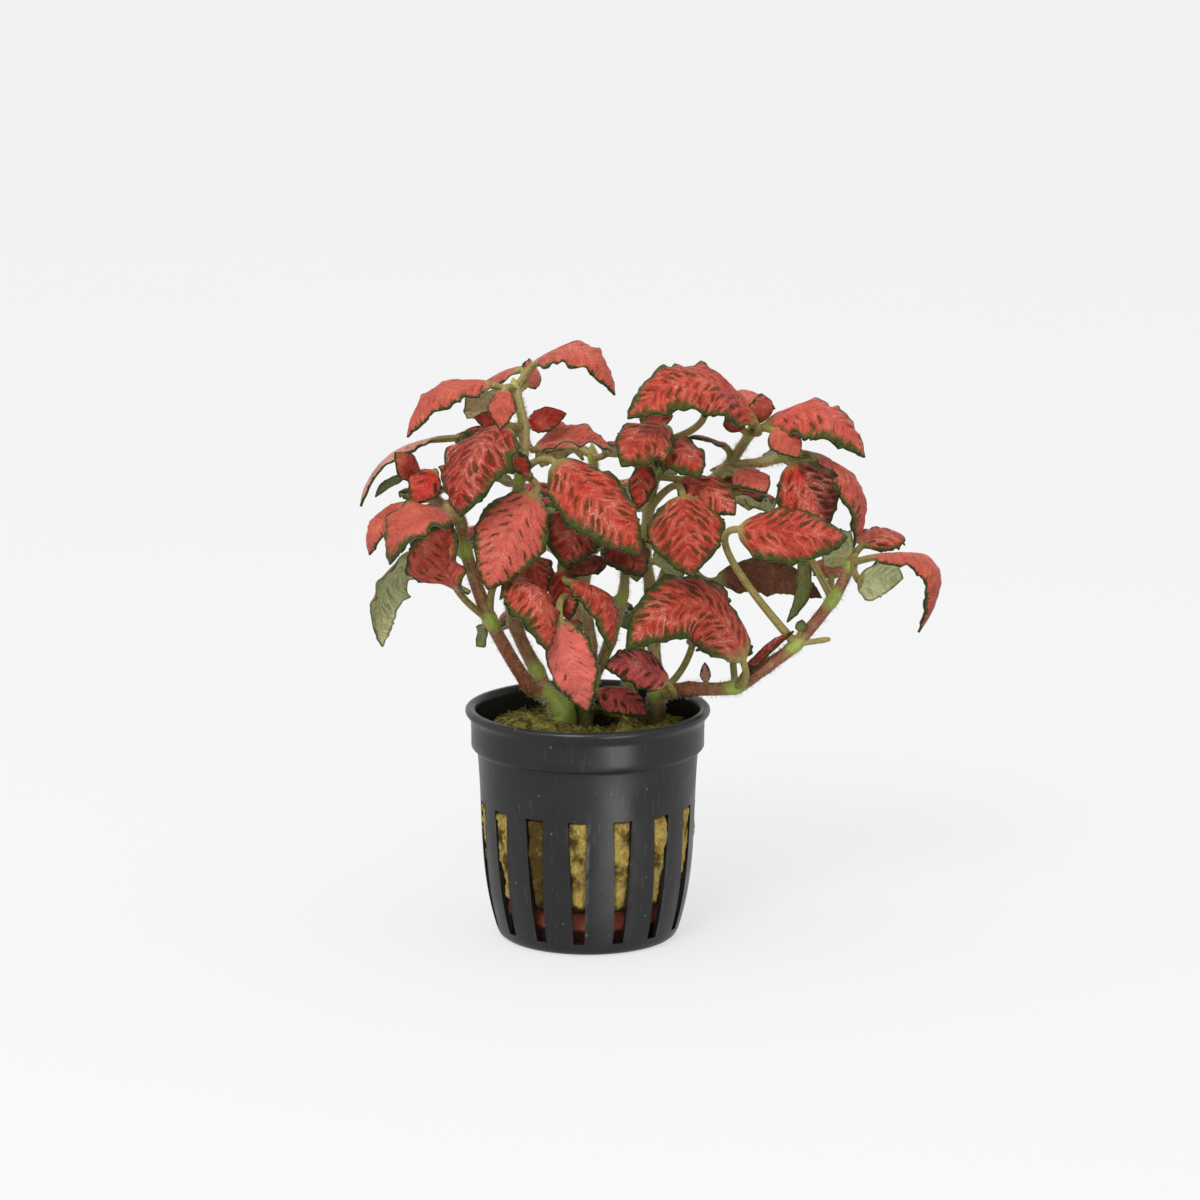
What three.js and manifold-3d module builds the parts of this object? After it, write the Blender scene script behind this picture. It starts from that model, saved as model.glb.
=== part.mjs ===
// A red nerve plant in a slotted net pot, in millimetres.
// The origin is the centre of the pot's underside. +Z is up, -Y is the side the plant is seen from.
// The pot holds a clay weight ring and a plug of mineral wool. Five cuttings stand in plain holes in it.
// Each cutting grew as one piece, so its stems, stalks and leaves are fused into one solid.

import * as THREE from "three";
import { mergeVertices } from "three/addons/utils/BufferGeometryUtils.js";
import Module from "manifold-3d";

const wasm = await Module();
wasm.setup();

// Driving dimensions of the pot
const RIM_R = 25;
const RIM_Z = 48;
const BAND_R = 23.8;
const BAND_BOTTOM_Z = 39.4;
const WALL_TOP_R = 22.6;
const WALL = 1;
const FLOOR = 1.3;
const POT_FACES = 45;

// The slots round the pot's lower wall, wide at the top and narrow at the foot
const SLOTS = 15;
const SLOT_TURN = THREE.MathUtils.degToRad(-5.2);
const SLOT_LOW_Z = 2.7;
const SLOT_HIGH_Z = 28.9;
const SLOT_LOW_WIDTH = 2.2;
const SLOT_HIGH_WIDTH = 4;
const FLOOR_SLOTS = 6;
const FLOOR_SLOT = { width: 2.4, from: 6, to: 13 };

// What the pot holds
const GAP = 0.3;
const RING = { r: 16.4, hole: 5.5, low: FLOOR + GAP, high: 8.9 };
const WOOL_LOW_Z = RING.high + GAP;
const WOOL_TOP_Z = 43.6;
const WOOL_TOP_R = 20.9;
const HOLLOW = { x: 4.5, y: -3, r: 10, depth: 3.4 };

// Stems and leaves
const ROOT_Z = 35;
const COLLAR_Z = 45;
const HOLE_CLEARANCE = 0.45;
const STEM_SIDES = 6;
const STALK_STEPS = 2;
const STALK_R = 0.72;
const STALK_BEND = { most: 0.5, least: 0.12, from: -0.2, to: 0.3 };
const BLADE = 0.6;
const RIB = 0.8;
const EDGE_WAVE = 0.1;
const EDGE_DROOP = 0.12;
const TIP_HALF = 0.3;
const SMALL_HALF = 4.2;
const LARGE_HALF = 7.6;
const SMALL_ROWS = 3;
const LARGE_ROWS = 6;

const SKIN = {
  pot: { color: 0x2a2b2c, roughness: 0.42, metalness: 0 },
  clay: { color: 0x7c3a26, roughness: 0.9, metalness: 0 },
  wool: { color: 0x9a8430, roughness: 1, metalness: 0 },
  leaf: { color: 0xc23f36, roughness: 0.5, metalness: 0 },
};

// The places below are laid out on a shallow plan. Those above the wool are moved along their line from
// the viewpoint until the plant is DEPTH times as deep, so from there its outline stays the same.
const DEPTH = 1.35;
const VIEWPOINT = new THREE.Vector3(2.5, -978, 278);
const SPREAD_FROM_Z = 47;
const SPREAD_FULL_Z = 60;

// Each cutting: where it stands in the wool, and its stems from the collar up.
// A stem lists its joints, where leaves are borne, and its radius at its foot and at its top.
const CUTTINGS = {
  left_cutting: {
    root: [-5.2, 3.5, 2.8],
    stems: {
      left_rise: {
        r: [1.55, 0.95],
        joints: [[-5.2, 3.5, 46], [-8, 3, 49.5], [-12, 1, 52], [-19.8, -4, 66.9], [-24.7, -8, 82.4],
          [-25.8, -9, 88.4], [-31, -6, 92.2], [-34.6, -5, 95.2]],
      },
      tall_rise: {
        r: [1.5, 0.95],
        joints: [[-8, 3, 49.5], [-10.4, 5, 54], [-14.7, 5, 63.7], [-16.6, 1, 79], [-13.4, -4.5, 96.8],
          [-12.8, -4.5, 106.2], [-14.4, -4, 113.8]],
      },
    },
  },
  centre_cutting: {
    root: [-0.4, 5.6, 1.5],
    stems: {
      centre_rise: {
        r: [1.35, 0.85],
        joints: [[-0.4, 5.6, 46], [0.8, 3, 52], [0.6, -2, 61.2], [-0.6, -3, 70.8], [-2.6, -3, 79.4],
          [-3.6, 0, 88]],
      },
      centre_side: {
        r: [1.2, 0.85],
        joints: [[0.8, 3, 52], [4.6, 2.5, 61], [7.2, 1, 71], [7.6, -2, 79.5]],
      },
    },
  },
  right_cutting: {
    root: [14, 3.5, 1.9],
    stems: {
      right_sprawl: {
        r: [1.6, 1.15],
        joints: [[14, 3.5, 46], [14.6, 3, 50], [20.8, 0, 51.4], [30, -3, 52.6], [36.1, -4, 57],
          [42.2, -4, 61.7], [49.7, -2, 70.6], [53.4, 0, 77.4]],
      },
      middle_rise: {
        r: [1.3, 0.9],
        joints: [[14.6, 3, 50], [13.4, 8, 59.8], [12.9, 8, 70.3], [11.7, 6.5, 78.4], [12.4, 4, 88],
          [13.8, 1, 95.4], [16.2, -1, 103]],
      },
    },
  },
  back_right_cutting: {
    root: [8, 11, 1.6],
    stems: {
      back_rise: {
        r: [1.4, 0.95],
        joints: [[8, 11, 46], [9.5, 13, 54], [14, 15, 67], [19, 13, 80], [24, 8.5, 91.4], [28.6, 6, 96.7],
          [33.2, 2.5, 104.4]],
      },
      back_side: {
        r: [0.95, 0.85],
        joints: [[28.6, 6, 96.7], [35.4, 0.5, 98.4], [41.2, -3.5, 100.4]],
      },
    },
  },
  back_left_cutting: {
    root: [-3, 12, 1.6],
    stems: {
      rear_rise: {
        r: [1.4, 0.9],
        joints: [[-3, 12, 46], [-2.8, 14, 54], [-1.6, 18, 65], [0.6, 21, 77], [1.6, 22, 88], [1, 21, 96]],
      },
    },
  },
};

// Leaves, by the cutting that bears them: the stem and joint, the blade's base and tip, its half width,
// how far its middle arches off its chord, the way its upper face looks, the fold of its halves in degrees,
// and how far it bows sideways in its own face. A positive fold is a valley along the midrib, and a
// negative one lets both halves hang.
const LEAVES = {
  left_cutting: [
    ["left_rise", 3, [-26.5, -9, 74.5], [-27.6, -12, 89], 9, 2, [-0.6, -0.8, 0], 36, 0],
    ["left_rise", 3, [-15.4, -11, 77], [-7.8, -19, 63.6], 6.6, 4.6, [0.8, -0.9, 0.6], -22, 0],
    ["left_rise", 3, [-20.9, -1, 64.6], [-22.4, 0.5, 60.2], 2.4, 0.3, [0.6, 0.6, -0.5], 0, 0],
    ["left_rise", 4, [-35.4, -3, 80.4], [-42, -3, 60.8], 5.8, 4, [-1, 0.7, 0.3], -16, 0],
    ["left_rise", 5, [-27, -12, 89.4], [-39.9, -15, 80.4], 6.2, 5, [-0.5, -0.6, 1], 12, 0],
    ["left_rise", 6, [-36.8, -3.6, 90.4], [-44.2, -4.5, 80.2], 3.6, 2.8, [-0.7, -0.7, 1], -10, 0],
    ["left_rise", 7, [-34.4, -6.4, 96.2], [-38.6, -7, 101.8], 2.7, 0.8, [0.5, -1, 0.5], -6, 0],
    ["left_rise", 7, [-36.8, -3, 96.4], [-43, 1.5, 91.2], 1.5, 0.6, [0.1, 0.4, 1], 8, 0],
    ["left_rise", 6, [-30.8, -7.6, 97.8], [-35, -11, 92], 3.4, 1, [0.1, -1, 0.5], -8, 0],
    ["left_rise", 6, [-31.6, -3, 93.6], [-34.2, 4, 90], 5.4, 1.4, [-0.2, 0.8, 0.7], -8, 0],
    ["tall_rise", 4, [-10.6, -10, 93.6], [-20, -16.5, 75.4], 7.4, 3, [0, -1, 0.35], -12, 0.6],
    ["tall_rise", 4, [-6.4, -9, 100], [10.8, -17, 82.8], 7.5, 2.8, [0.3, -1, 0.6], -15, 0],
    ["tall_rise", 4, [-11.9, -7.6, 97.6], [-16.2, -9.6, 103.2], 2, 0.6, [-0.3, -1, 0.3], -6, 0],
    ["tall_rise", 5, [-16.8, -8.6, 107], [-25.6, -17.5, 90.4], 8.7, 5, [-0.7, -0.9, 0.9], -12, 0],
    ["tall_rise", 5, [-10.4, -3, 101.6], [5.2, -1.5, 101], 5.4, 2.4, [0, -0.25, 1], 22, 0],
    ["tall_rise", 5, [-12, -4, 106.8], [-4.2, -4.4, 109.2], 2.5, 0.8, [0, -1, 0.4], -8, 0],
    ["tall_rise", 5, [-15.6, -4.6, 106.8], [-22.8, -4, 108.4], 2.2, 0.6, [0, -1, 0.5], -8, 0],
    ["tall_rise", 5, [-29.6, 1, 103], [-46, -3, 90], 3.3, 3.8, [-0.5, 0.05, 1], -6, 0],
    ["tall_rise", 6, [-16.6, -7.6, 114.2], [-17.4, -10.6, 107], 2.8, 1.2, [-0.1, -1, 0.3], -10, 0],
    ["tall_rise", 6, [-19.4, -5, 115], [-36.3, -8, 105], 4.3, 5.2, [-0.35, -0.5, 1], -12, 0],
    ["tall_rise", 6, [-10.6, -4, 119], [5.8, -8, 113.6], 5.4, 6.8, [0, -0.24, 1], -8, 0],
    ["tall_rise", 6, [-13.4, -0.5, 117.4], [-21.6, 8, 112.6], 3.6, 0.8, [-0.2, -0.3, 1], -10, 0],
    ["tall_rise", 6, [-17.2, 1, 112.2], [-24.6, 6, 106.6], 4.4, 1.6, [-0.2, 0.9, 0.5], -10, 0],
    ["tall_rise", 6, [-12.4, -2.6, 114.8], [-11, 4, 118], 2.8, 0.8, [0.9, -0.3, 0.5], 8, 0],
    ["tall_rise", 5, [-17, -1.5, 104.6], [-25.6, 6, 99.4], 6.2, 3, [-0.2, 0.5, 1], -14, 0],
    ["tall_rise", 3, [-20, 6, 82], [-30.6, 14, 76.4], 7, 3.6, [-0.5, 0.5, 1], -16, 0],
    ["tall_rise", 3, [-13.4, -3, 80.4], [-8.6, -8, 72.6], 4.6, 1.8, [0.3, -0.8, 0.8], -10, 0],
    ["tall_rise", 4, [-17.4, 1.4, 94.6], [-24.4, 9, 90.4], 5.2, 2.6, [-0.3, 0.5, 1], -12, 0],
    ["left_rise", 4, [-26, -1.6, 80.4], [-28.4, 7.6, 77], 5, 2.4, [-0.3, 0.4, 1], -12, 0],
    ["left_rise", 5, [-28, -2.4, 89], [-30.8, 7, 86.6], 4.6, 2.2, [-0.2, 0.4, 1], -12, 0],
  ],
  centre_cutting: [
    ["centre_rise", 3, [-5.4, -14.5, 68.6], [0.1, -20.6, 51.4], 5, 2.2, [-0.3, -1, 0.4], -10, 0],
    ["centre_rise", 4, [-3.2, -9.6, 75.6], [4.4, -15.6, 63], 4.6, 5.4, [0.9, -0.8, 0.6], -20, 0],
    ["centre_rise", 4, [-5.4, -7, 77.6], [-3.6, -9.6, 67.8], 3.2, 1, [0, -1, 0.2], -4, 0],
    ["centre_rise", 5, [-0.8, -4.4, 91], [-4.8, -10.4, 78.8], 6.4, 2, [0, -1, 0.4], -10, 0],
    ["centre_side", 3, [5, -6, 84.4], [11.3, -10.6, 77], 4.8, 1.6, [0.4, -1, 0.5], -10, 0],
    ["centre_rise", 4, [3.6, -4, 79], [-4.2, -7.4, 76.6], 2.6, 0.8, [0, -0.7, 0.9], 0, 0],
    ["centre_rise", 1, [2.4, 1.6, 50.6], [12, -3.6, 47], 4.1, 1.2, [0, -0.6, 1], -8, 0],
    ["centre_side", 2, [4.8, 5, 69], [3.4, 13, 63], 5, 2, [0.1, 0.4, 1], -14, 0],
    ["centre_rise", 5, [-4.6, 4.4, 88.6], [-11.4, 12.4, 83.6], 6.2, 3, [-0.2, 0.5, 1], -14, 0],
    ["centre_rise", 2, [-2.6, 4, 63], [-8.6, 12, 60], 5.2, 2.4, [-0.3, 0.5, 0.9], -14, 0],
  ],
  right_cutting: [
    ["right_sprawl", 3, [31.4, -8, 59], [7.8, -15, 63], 8.2, 6, [0, -1, 0.8], -8, 8.4],
    ["right_sprawl", 3, [31, -4, 54.6], [41.6, -5.6, 64.8], 1.6, 0.6, [-0.5, -0.5, 0.6], 20, 0],
    ["right_sprawl", 2, [24, -2, 53.4], [23.8, -3, 57.6], 1.1, 0.2, [0, -1, 0], 0, 0],
    ["right_sprawl", 5, [30.2, -15, 87.6], [52.2, -15, 86.2], 6.3, 3, [-0.1, -1, 0.8], -10, 1.4],
    ["right_sprawl", 5, [43, -4.6, 64.4], [43.4, -5.2, 67], 1.2, 0.2, [0, 1, -0.2], 0, 0],
    ["right_sprawl", 6, [43.6, 1.4, 81.2], [40.8, 3, 64.6], 2.6, 2.8, [1, 0.5, 0.3], -8, 0],
    ["right_sprawl", 7, [53.6, 1.4, 78.2], [46.8, 2.6, 82.6], 4.6, 1.2, [-0.3, 1, 0.5], -6, 0],
    ["right_sprawl", 7, [56.4, -2.4, 79], [67.2, -6, 64.4], 4.6, 11, [0.75, -0.4, 0.8], -12, 0],
    ["right_sprawl", 7, [55.6, 2.6, 80.6], [64.4, 8.4, 81.4], 5.2, 2, [0, -0.3, 1], -10, 0],
    ["right_sprawl", 7, [55, -3, 74.6], [64, 1, 74.6], 5.2, 1, [0.1, 1, 0.35], -4, 0],
    ["right_sprawl", 1, [16, -7.6, 54.4], [3.4, -12, 58.8], 4.4, 1.6, [0, -1, 0.7], -8, 1.4],
    ["right_sprawl", 1, [21.4, 8, 58.6], [30.4, 12.6, 62], 6.8, 3.4, [0.2, 0.3, 1], -14, 0],
    ["middle_rise", 3, [13.6, 3, 77.4], [19.6, -1.6, 76.2], 4, 1, [0.2, 0.8, 0.6], -4, 0],
    ["middle_rise", 4, [19.2, -8, 92.8], [20.4, -15, 78], 8, 2.4, [0, -1, 0.3], -10, 0],
    ["middle_rise", 5, [19, -3, 95.4], [29.8, -8.6, 89.4], 5.4, 1.8, [0.2, -0.8, 1], -10, 0],
    ["middle_rise", 6, [15.4, -5.4, 106.4], [6.6, -12, 99.8], 6, 2.6, [-0.3, -1, 0.6], -10, 0],
    ["middle_rise", 6, [12.8, -5, 101.8], [22.4, -10, 97], 5.6, 2.6, [0.3, -0.8, 1], -12, -1.4],
    ["middle_rise", 6, [14.6, 0.4, 105.4], [13, 3.4, 109], 3.4, 0.8, [0, -1, 0.5], -6, 0],
    ["middle_rise", 6, [23.6, 0, 109], [22.6, 8, 112.4], 3.8, 1, [0, -0.4, 1], -10, 0],
    ["middle_rise", 5, [11.6, -2.6, 98.4], [10.2, -6.4, 90], 2.7, 0.8, [-0.1, -1, 0.3], -6, 0],
    ["middle_rise", 4, [9, 7.4, 88.6], [1.6, 13, 84], 6.2, 2.8, [-0.3, 0.5, 1], -14, 0],
    ["middle_rise", 2, [17, 5.6, 70.4], [26, 4.4, 65.4], 5.6, 2.4, [0.3, 0.5, 0.9], -14, 0],
    ["middle_rise", 5, [14, 6, 96.4], [15, 14.6, 92.8], 5.2, 2.4, [0.1, 0.5, 1], -12, 0],
    ["right_sprawl", 3, [29.6, 3.4, 57], [26.4, 13, 60.4], 5.6, 2.6, [0.1, 0.2, 1], -12, 0],
    ["right_sprawl", 6, [49.6, 4.6, 73.6], [50.4, 13, 75], 4.4, 2, [0, 0.2, 1], -10, 0],
  ],
  back_right_cutting: [
    ["back_rise", 6, [33.6, -3.4, 107.2], [7.8, -12.6, 109.8], 7.9, 7.4, [0, -0.65, 1], -6, 3],
    ["back_rise", 6, [33.2, 3.4, 107.6], [31.4, 10, 111.6], 4.6, 1.2, [0.2, -0.4, 1], -10, 0],
    ["back_rise", 6, [34, -0.6, 106.8], [35, -3, 113], 3.2, 1, [0.3, -1, 0.4], -6, 0],
    ["back_rise", 6, [36.2, -1, 106.4], [56, -6, 100.6], 6.4, 6.6, [0.1, -0.55, 1], -12, -0.6],
    ["back_rise", 6, [37.4, -4.4, 105.6], [42.4, -8, 100.8], 3.4, 1.4, [0.1, -1, 0.6], -8, 0],
    ["back_rise", 6, [31, -1.6, 105.6], [28, -3, 109.4], 2.6, 0.6, [-0.2, -1, 0.3], 0, 0],
    ["back_rise", 5, [27.6, 3.6, 101.2], [20.4, 0.2, 103.6], 2.4, 0.6, [0, -0.1, 1], -6, 0],
    ["back_rise", 5, [30.6, 1.4, 96.2], [36, -4.6, 93], 3.8, 1, [0.2, -0.8, 1], -6, 0],
    ["back_side", 2, [41.4, -5.6, 99.4], [48, -8.6, 86], 7.2, 2.4, [-0.1, -1, 0.25], -20, 0],
    ["back_side", 2, [44.8, -2.4, 100.4], [54, -4, 81.6], 4.8, 6.2, [0.9, -0.5, 0.5], -14, 0],
    ["back_side", 1, [38, 4.6, 98.6], [45.6, 12, 94.4], 6.4, 3, [0.3, 0.4, 1], -14, 0],
    ["back_rise", 3, [26.4, 7.4, 72.6], [48, 7, 69], 4.2, 4, [0.1, 1, 0.25], -16, 1.6],
    ["back_rise", 4, [27.4, 13, 91], [33.6, 22, 84.6], 7, 3.6, [0.3, 0.6, 0.9], -14, 0],
    ["back_rise", 3, [18, 18, 80.6], [13, 28, 75.4], 7, 3.4, [-0.1, 0.8, 0.9], -14, 0],
    ["back_rise", 2, [19, 19, 68.6], [28, 26, 61.4], 7, 3.6, [0.5, 0.6, 0.8], -14, 0],
    ["back_rise", 4, [29, 11.4, 89.6], [38, 18, 84.6], 5.6, 2.8, [0.3, 0.5, 1], -14, 0],
    ["back_rise", 5, [29.4, 10.6, 94.8], [31.4, 19, 90.4], 5, 2.4, [0.1, 0.5, 1], -12, 0],
  ],
  back_left_cutting: [
    ["rear_rise", 5, [3.6, 19, 96.6], [12, 14, 96], 5.6, 2.6, [0.1, 0.5, 1], -8, 0],
    ["rear_rise", 5, [-1.4, 22.4, 97], [-10, 29, 92.4], 6.2, 3, [-0.3, 0.6, 1], -14, 0],
    ["rear_rise", 4, [5, 26, 88.6], [11, 33, 82], 6.6, 3.6, [0.3, 0.7, 0.9], -14, 0],
    ["rear_rise", 4, [-5, 20.6, 88.4], [-19, 19.6, 84], 7, 3.8, [-0.5, 0.2, 1], -16, 0],
    ["rear_rise", 3, [3.6, 25, 76.6], [10.6, 30, 67.6], 6, 3.4, [0.4, 0.7, 0.8], -14, 0],
    ["rear_rise", 3, [-6.4, 25.4, 77.6], [-16.6, 31, 69.4], 7, 3.6, [-0.5, 0.6, 0.8], -14, 0],
    ["rear_rise", 2, [2.6, 22.6, 64.6], [10, 26, 57], 6, 3, [0.4, 0.5, 0.9], -14, 0],
    ["rear_rise", 2, [-8.4, 19.6, 64.6], [-20, 19, 57.6], 6.6, 3.4, [-0.6, 0.3, 0.8], -14, 0],
  ],
};

// The stub of a stalk whose leaf was cut off, on the right-hand stem
const STUB = { from: [42.2, -4, 61.7], to: [49, -6, 63.2], r: 0.6 };

// Shapes of the fused parts
const JOINT_SHARES = [0, 0.16, 0.84];
const JOINT_SWELL = 1.35;
const ROUNDING = 0.55;
const POINTING = 0.8;

const vector = (place) => new THREE.Vector3(...place);

// A place of the layout as it is on the plant, which is spread front to back
function placed(place) {
  const flat = vector(place);
  const share = THREE.MathUtils.smoothstep(flat.z, SPREAD_FROM_Z, SPREAD_FULL_Z);
  const shift = (share * (DEPTH - 1) * flat.y) / (flat.y - VIEWPOINT.y);
  return flat.addScaledVector(flat.clone().sub(VIEWPOINT), shift);
}

// A three.js geometry as a solid, by its places alone
function solid(geometry) {
  const loose = geometry.index ? geometry.toNonIndexed() : geometry;
  const bare = new THREE.BufferGeometry().setAttribute("position", loose.attributes.position);
  const merged = mergeVertices(bare, 1e-4);
  return new wasm.Manifold(
    new wasm.Mesh({
      numProp: 3,
      vertProperties: new Float32Array(merged.attributes.position.array),
      triVerts: new Uint32Array(merged.index.array),
    }),
  );
}

// A solid as a three.js geometry
function geometryOf(body) {
  const made = body.getMesh();
  const geometry = new THREE.BufferGeometry();
  geometry.setAttribute("position", new THREE.BufferAttribute(made.vertProperties, 3));
  geometry.setIndex(new THREE.BufferAttribute(made.triVerts, 1));
  return geometry;
}

// A profile of [radius, height] pairs turned about the Z axis
function turned(profile, faces, start = 0) {
  const lathe = new THREE.LatheGeometry(
    profile.map(([r, z]) => new THREE.Vector2(r, z)),
    faces,
    start,
  );
  return lathe.rotateX(Math.PI / 2);
}

// The pot's outside up the wall, over the rolled rim, and its inside down to the floor
function potBody() {
  const outside = [
    [0, 0], [17, 0], [18.6, 1.4], [20.2, 7.5], [21.6, 19],
    [WALL_TOP_R, BAND_BOTTOM_Z - 0.3], [BAND_R, BAND_BOTTOM_Z + 0.5],
  ];
  const rim = [
    [BAND_R, RIM_Z - 3.3], [RIM_R, RIM_Z - 2.4], [RIM_R, RIM_Z - 1], [RIM_R - 1.1, RIM_Z],
    [BAND_R - WALL, RIM_Z - 0.8],
  ];
  const inside = [
    [BAND_R - WALL, BAND_BOTTOM_Z + 0.2], [WALL_TOP_R - WALL, BAND_BOTTOM_Z - 0.8], [20.6, 19],
    [19.2, 7.5], [17.2, FLOOR], [0, FLOOR],
  ];
  return solid(turned([...outside, ...rim, ...inside], POT_FACES, SLOT_TURN));
}

// One wall slot: a wedge of space that runs out through the wall
function wallSlot(turn) {
  const low = SLOT_LOW_WIDTH / 2;
  const high = SLOT_HIGH_WIDTH / 2;
  const outline = new THREE.Shape([
    new THREE.Vector2(-low, SLOT_LOW_Z),
    new THREE.Vector2(low, SLOT_LOW_Z),
    new THREE.Vector2(high, SLOT_HIGH_Z),
    new THREE.Vector2(-high, SLOT_HIGH_Z),
  ]);
  const inner = 14;
  const wedge = new THREE.ExtrudeGeometry(outline, { depth: RIM_R - inner, bevelEnabled: false });
  return wedge.rotateX(Math.PI / 2).translate(0, -inner, 0).rotateZ(turn);
}

function floorSlot(turn) {
  const length = FLOOR_SLOT.to - FLOOR_SLOT.from;
  const slot = new THREE.BoxGeometry(length, FLOOR_SLOT.width, FLOOR * 3);
  return slot.translate(FLOOR_SLOT.from + length / 2, 0, 0).rotateZ(turn);
}

function netPot() {
  let pot = potBody();
  for (let i = 0; i < SLOTS; i += 1) {
    pot = pot.subtract(solid(wallSlot(SLOT_TURN + (i * 2 * Math.PI) / SLOTS)));
  }
  for (let i = 0; i < FLOOR_SLOTS; i += 1) {
    pot = pot.subtract(solid(floorSlot(((i + 0.5) * 2 * Math.PI) / FLOOR_SLOTS)));
  }
  return pot;
}

function clayRing() {
  const { r, hole, low, high } = RING;
  const edge = 0.7;
  return solid(
    turned([[hole, low], [r - edge, low], [r, low + edge], [r, high - edge], [r - edge, high],
      [hole, high], [hole, low]], 30),
  );
}

// The wool plug: a tapered drum with a soft shoulder and a shallow planting hollow
function woolPlug() {
  let plug = solid(
    turned([[0, WOOL_LOW_Z], [18.4, WOOL_LOW_Z], [20.2, 21],
      [WOOL_TOP_R, WOOL_TOP_Z - 1.4], [WOOL_TOP_R - 1.4, WOOL_TOP_Z], [0, WOOL_TOP_Z]], 30),
  );
  const hollow = new THREE.SphereGeometry(HOLLOW.r, 14, 8);
  hollow.scale(1, 0.8, HOLLOW.depth / HOLLOW.r).translate(HOLLOW.x, HOLLOW.y, WOOL_TOP_Z + 0.6);
  plug = plug.subtract(solid(hollow));
  for (const { root } of Object.values(CUTTINGS)) {
    plug = plug.subtract(solid(upright(root, ROOT_Z - HOLE_CLEARANCE, WOOL_TOP_Z + 3, HOLE_CLEARANCE)));
  }
  return plug;
}

// An upright post at a cutting's root place
function upright([x, y, r], low, high, grow = 0) {
  const post = new THREE.CylinderGeometry(r + grow, r + grow, high - low, 10);
  return post.rotateX(Math.PI / 2).translate(x, y, (low + high) / 2);
}

// Turns each ring's normal as little as possible from the ring before it, from the first normal given
function carryNormals(rings, first) {
  let normal = first.clone();
  for (const ring of rings) {
    normal = normal.clone().addScaledVector(ring.along, -normal.dot(ring.along)).normalize();
    ring.normal = normal;
    ring.across = ring.along.clone().cross(normal).normalize();
  }
  return rings;
}

// A closed drum whose rings are carried along a line, each with a radius of its own
function drum(rings, sides) {
  const steps = rings.length - 1;
  const geometry = new THREE.CylinderGeometry(1, 1, 1, sides, steps);
  const places = geometry.attributes.position;
  for (let i = 0; i < places.count; i += 1) {
    const ring = rings[Math.round((0.5 - places.getY(i)) * steps)];
    const place = ring.at
      .clone()
      .addScaledVector(ring.normal, ring.r * places.getX(i))
      .addScaledVector(ring.across, ring.r * places.getZ(i));
    places.setXYZ(i, place.x, place.y, place.z);
  }
  return geometry;
}

// A stem: it thins upwards and is swollen at each joint. The first stem of a cutting starts down in the
// wool, and thins from its root's radius up to its first joint
function stemBody({ joints, r: [foot, top] }, root) {
  const line = new THREE.CatmullRomCurve3(joints.map(placed), false, "catmullrom", 0.5);
  const spans = joints.length - 1;
  const rings = [];
  const extra = root ? root[2] - foot : 0;
  if (root) {
    const [x, y, r] = root;
    for (const z of [ROOT_Z, COLLAR_Z]) {
      rings.push({ at: new THREE.Vector3(x, y, z), along: new THREE.Vector3(0, 0, 1), r });
    }
  }
  for (let i = 0; i < spans; i += 1) {
    for (const share of JOINT_SHARES) {
      const t = (i + share) / spans;
      const even = THREE.MathUtils.lerp(foot, top, t) + extra * Math.max(1 - t * spans, 0);
      const swell = share === 0 && i > 0 ? JOINT_SWELL : 1;
      rings.push({ at: line.getPoint(t), along: line.getTangent(t), r: even * swell });
    }
  }
  rings.push({ at: line.getPoint(1), along: line.getTangent(1), r: top * JOINT_SWELL });
  return drum(carryNormals(rings, new THREE.Vector3(1, 0, 0)), STEM_SIDES);
}

// The blade's half width along it, as a share of its widest, from the rounded base to the pointed tip
function outline(t) {
  const widest = ROUNDING / (ROUNDING + POINTING);
  const peak = widest ** ROUNDING * (1 - widest) ** POINTING;
  return (t ** ROUNDING * (1 - t) ** POINTING) / peak;
}

// The rings of a blade along its arched midrib
function bladeRings([, , base, tip, half, rise, face, fold, bow], rows) {
  const start = placed(base);
  const end = placed(tip);
  const along = end.clone().sub(start).normalize();
  const up = vector(face).normalize();
  up.addScaledVector(along, -up.dot(along)).normalize();
  const aside = along.clone().cross(up);
  const crown = start.clone().add(end).multiplyScalar(0.5);
  crown.addScaledVector(up, 2 * rise).addScaledVector(aside, 2 * bow);
  const curve = new THREE.QuadraticBezierCurve3(start, crown, end);
  const rings = [];
  for (let i = 0; i <= rows; i += 1) {
    const t = i / rows;
    const share = outline(t);
    const tangent = curve.getTangent(t);
    const across = tangent.clone().cross(up).normalize();
    rings.push({
      at: curve.getPoint(t),
      along: tangent,
      across,
      normal: across.clone().cross(tangent),
      half: Math.max(half * share, t < 0.5 ? STALK_R : TIP_HALF),
      lean: THREE.MathUtils.degToRad(fold),
      edge: half * share * (EDGE_WAVE * Math.cos(Math.PI * i) - EDGE_DROOP),
      thick: (v) => (v === 0 ? RIB : BLADE) / 2,
    });
  }
  return rings;
}

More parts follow.
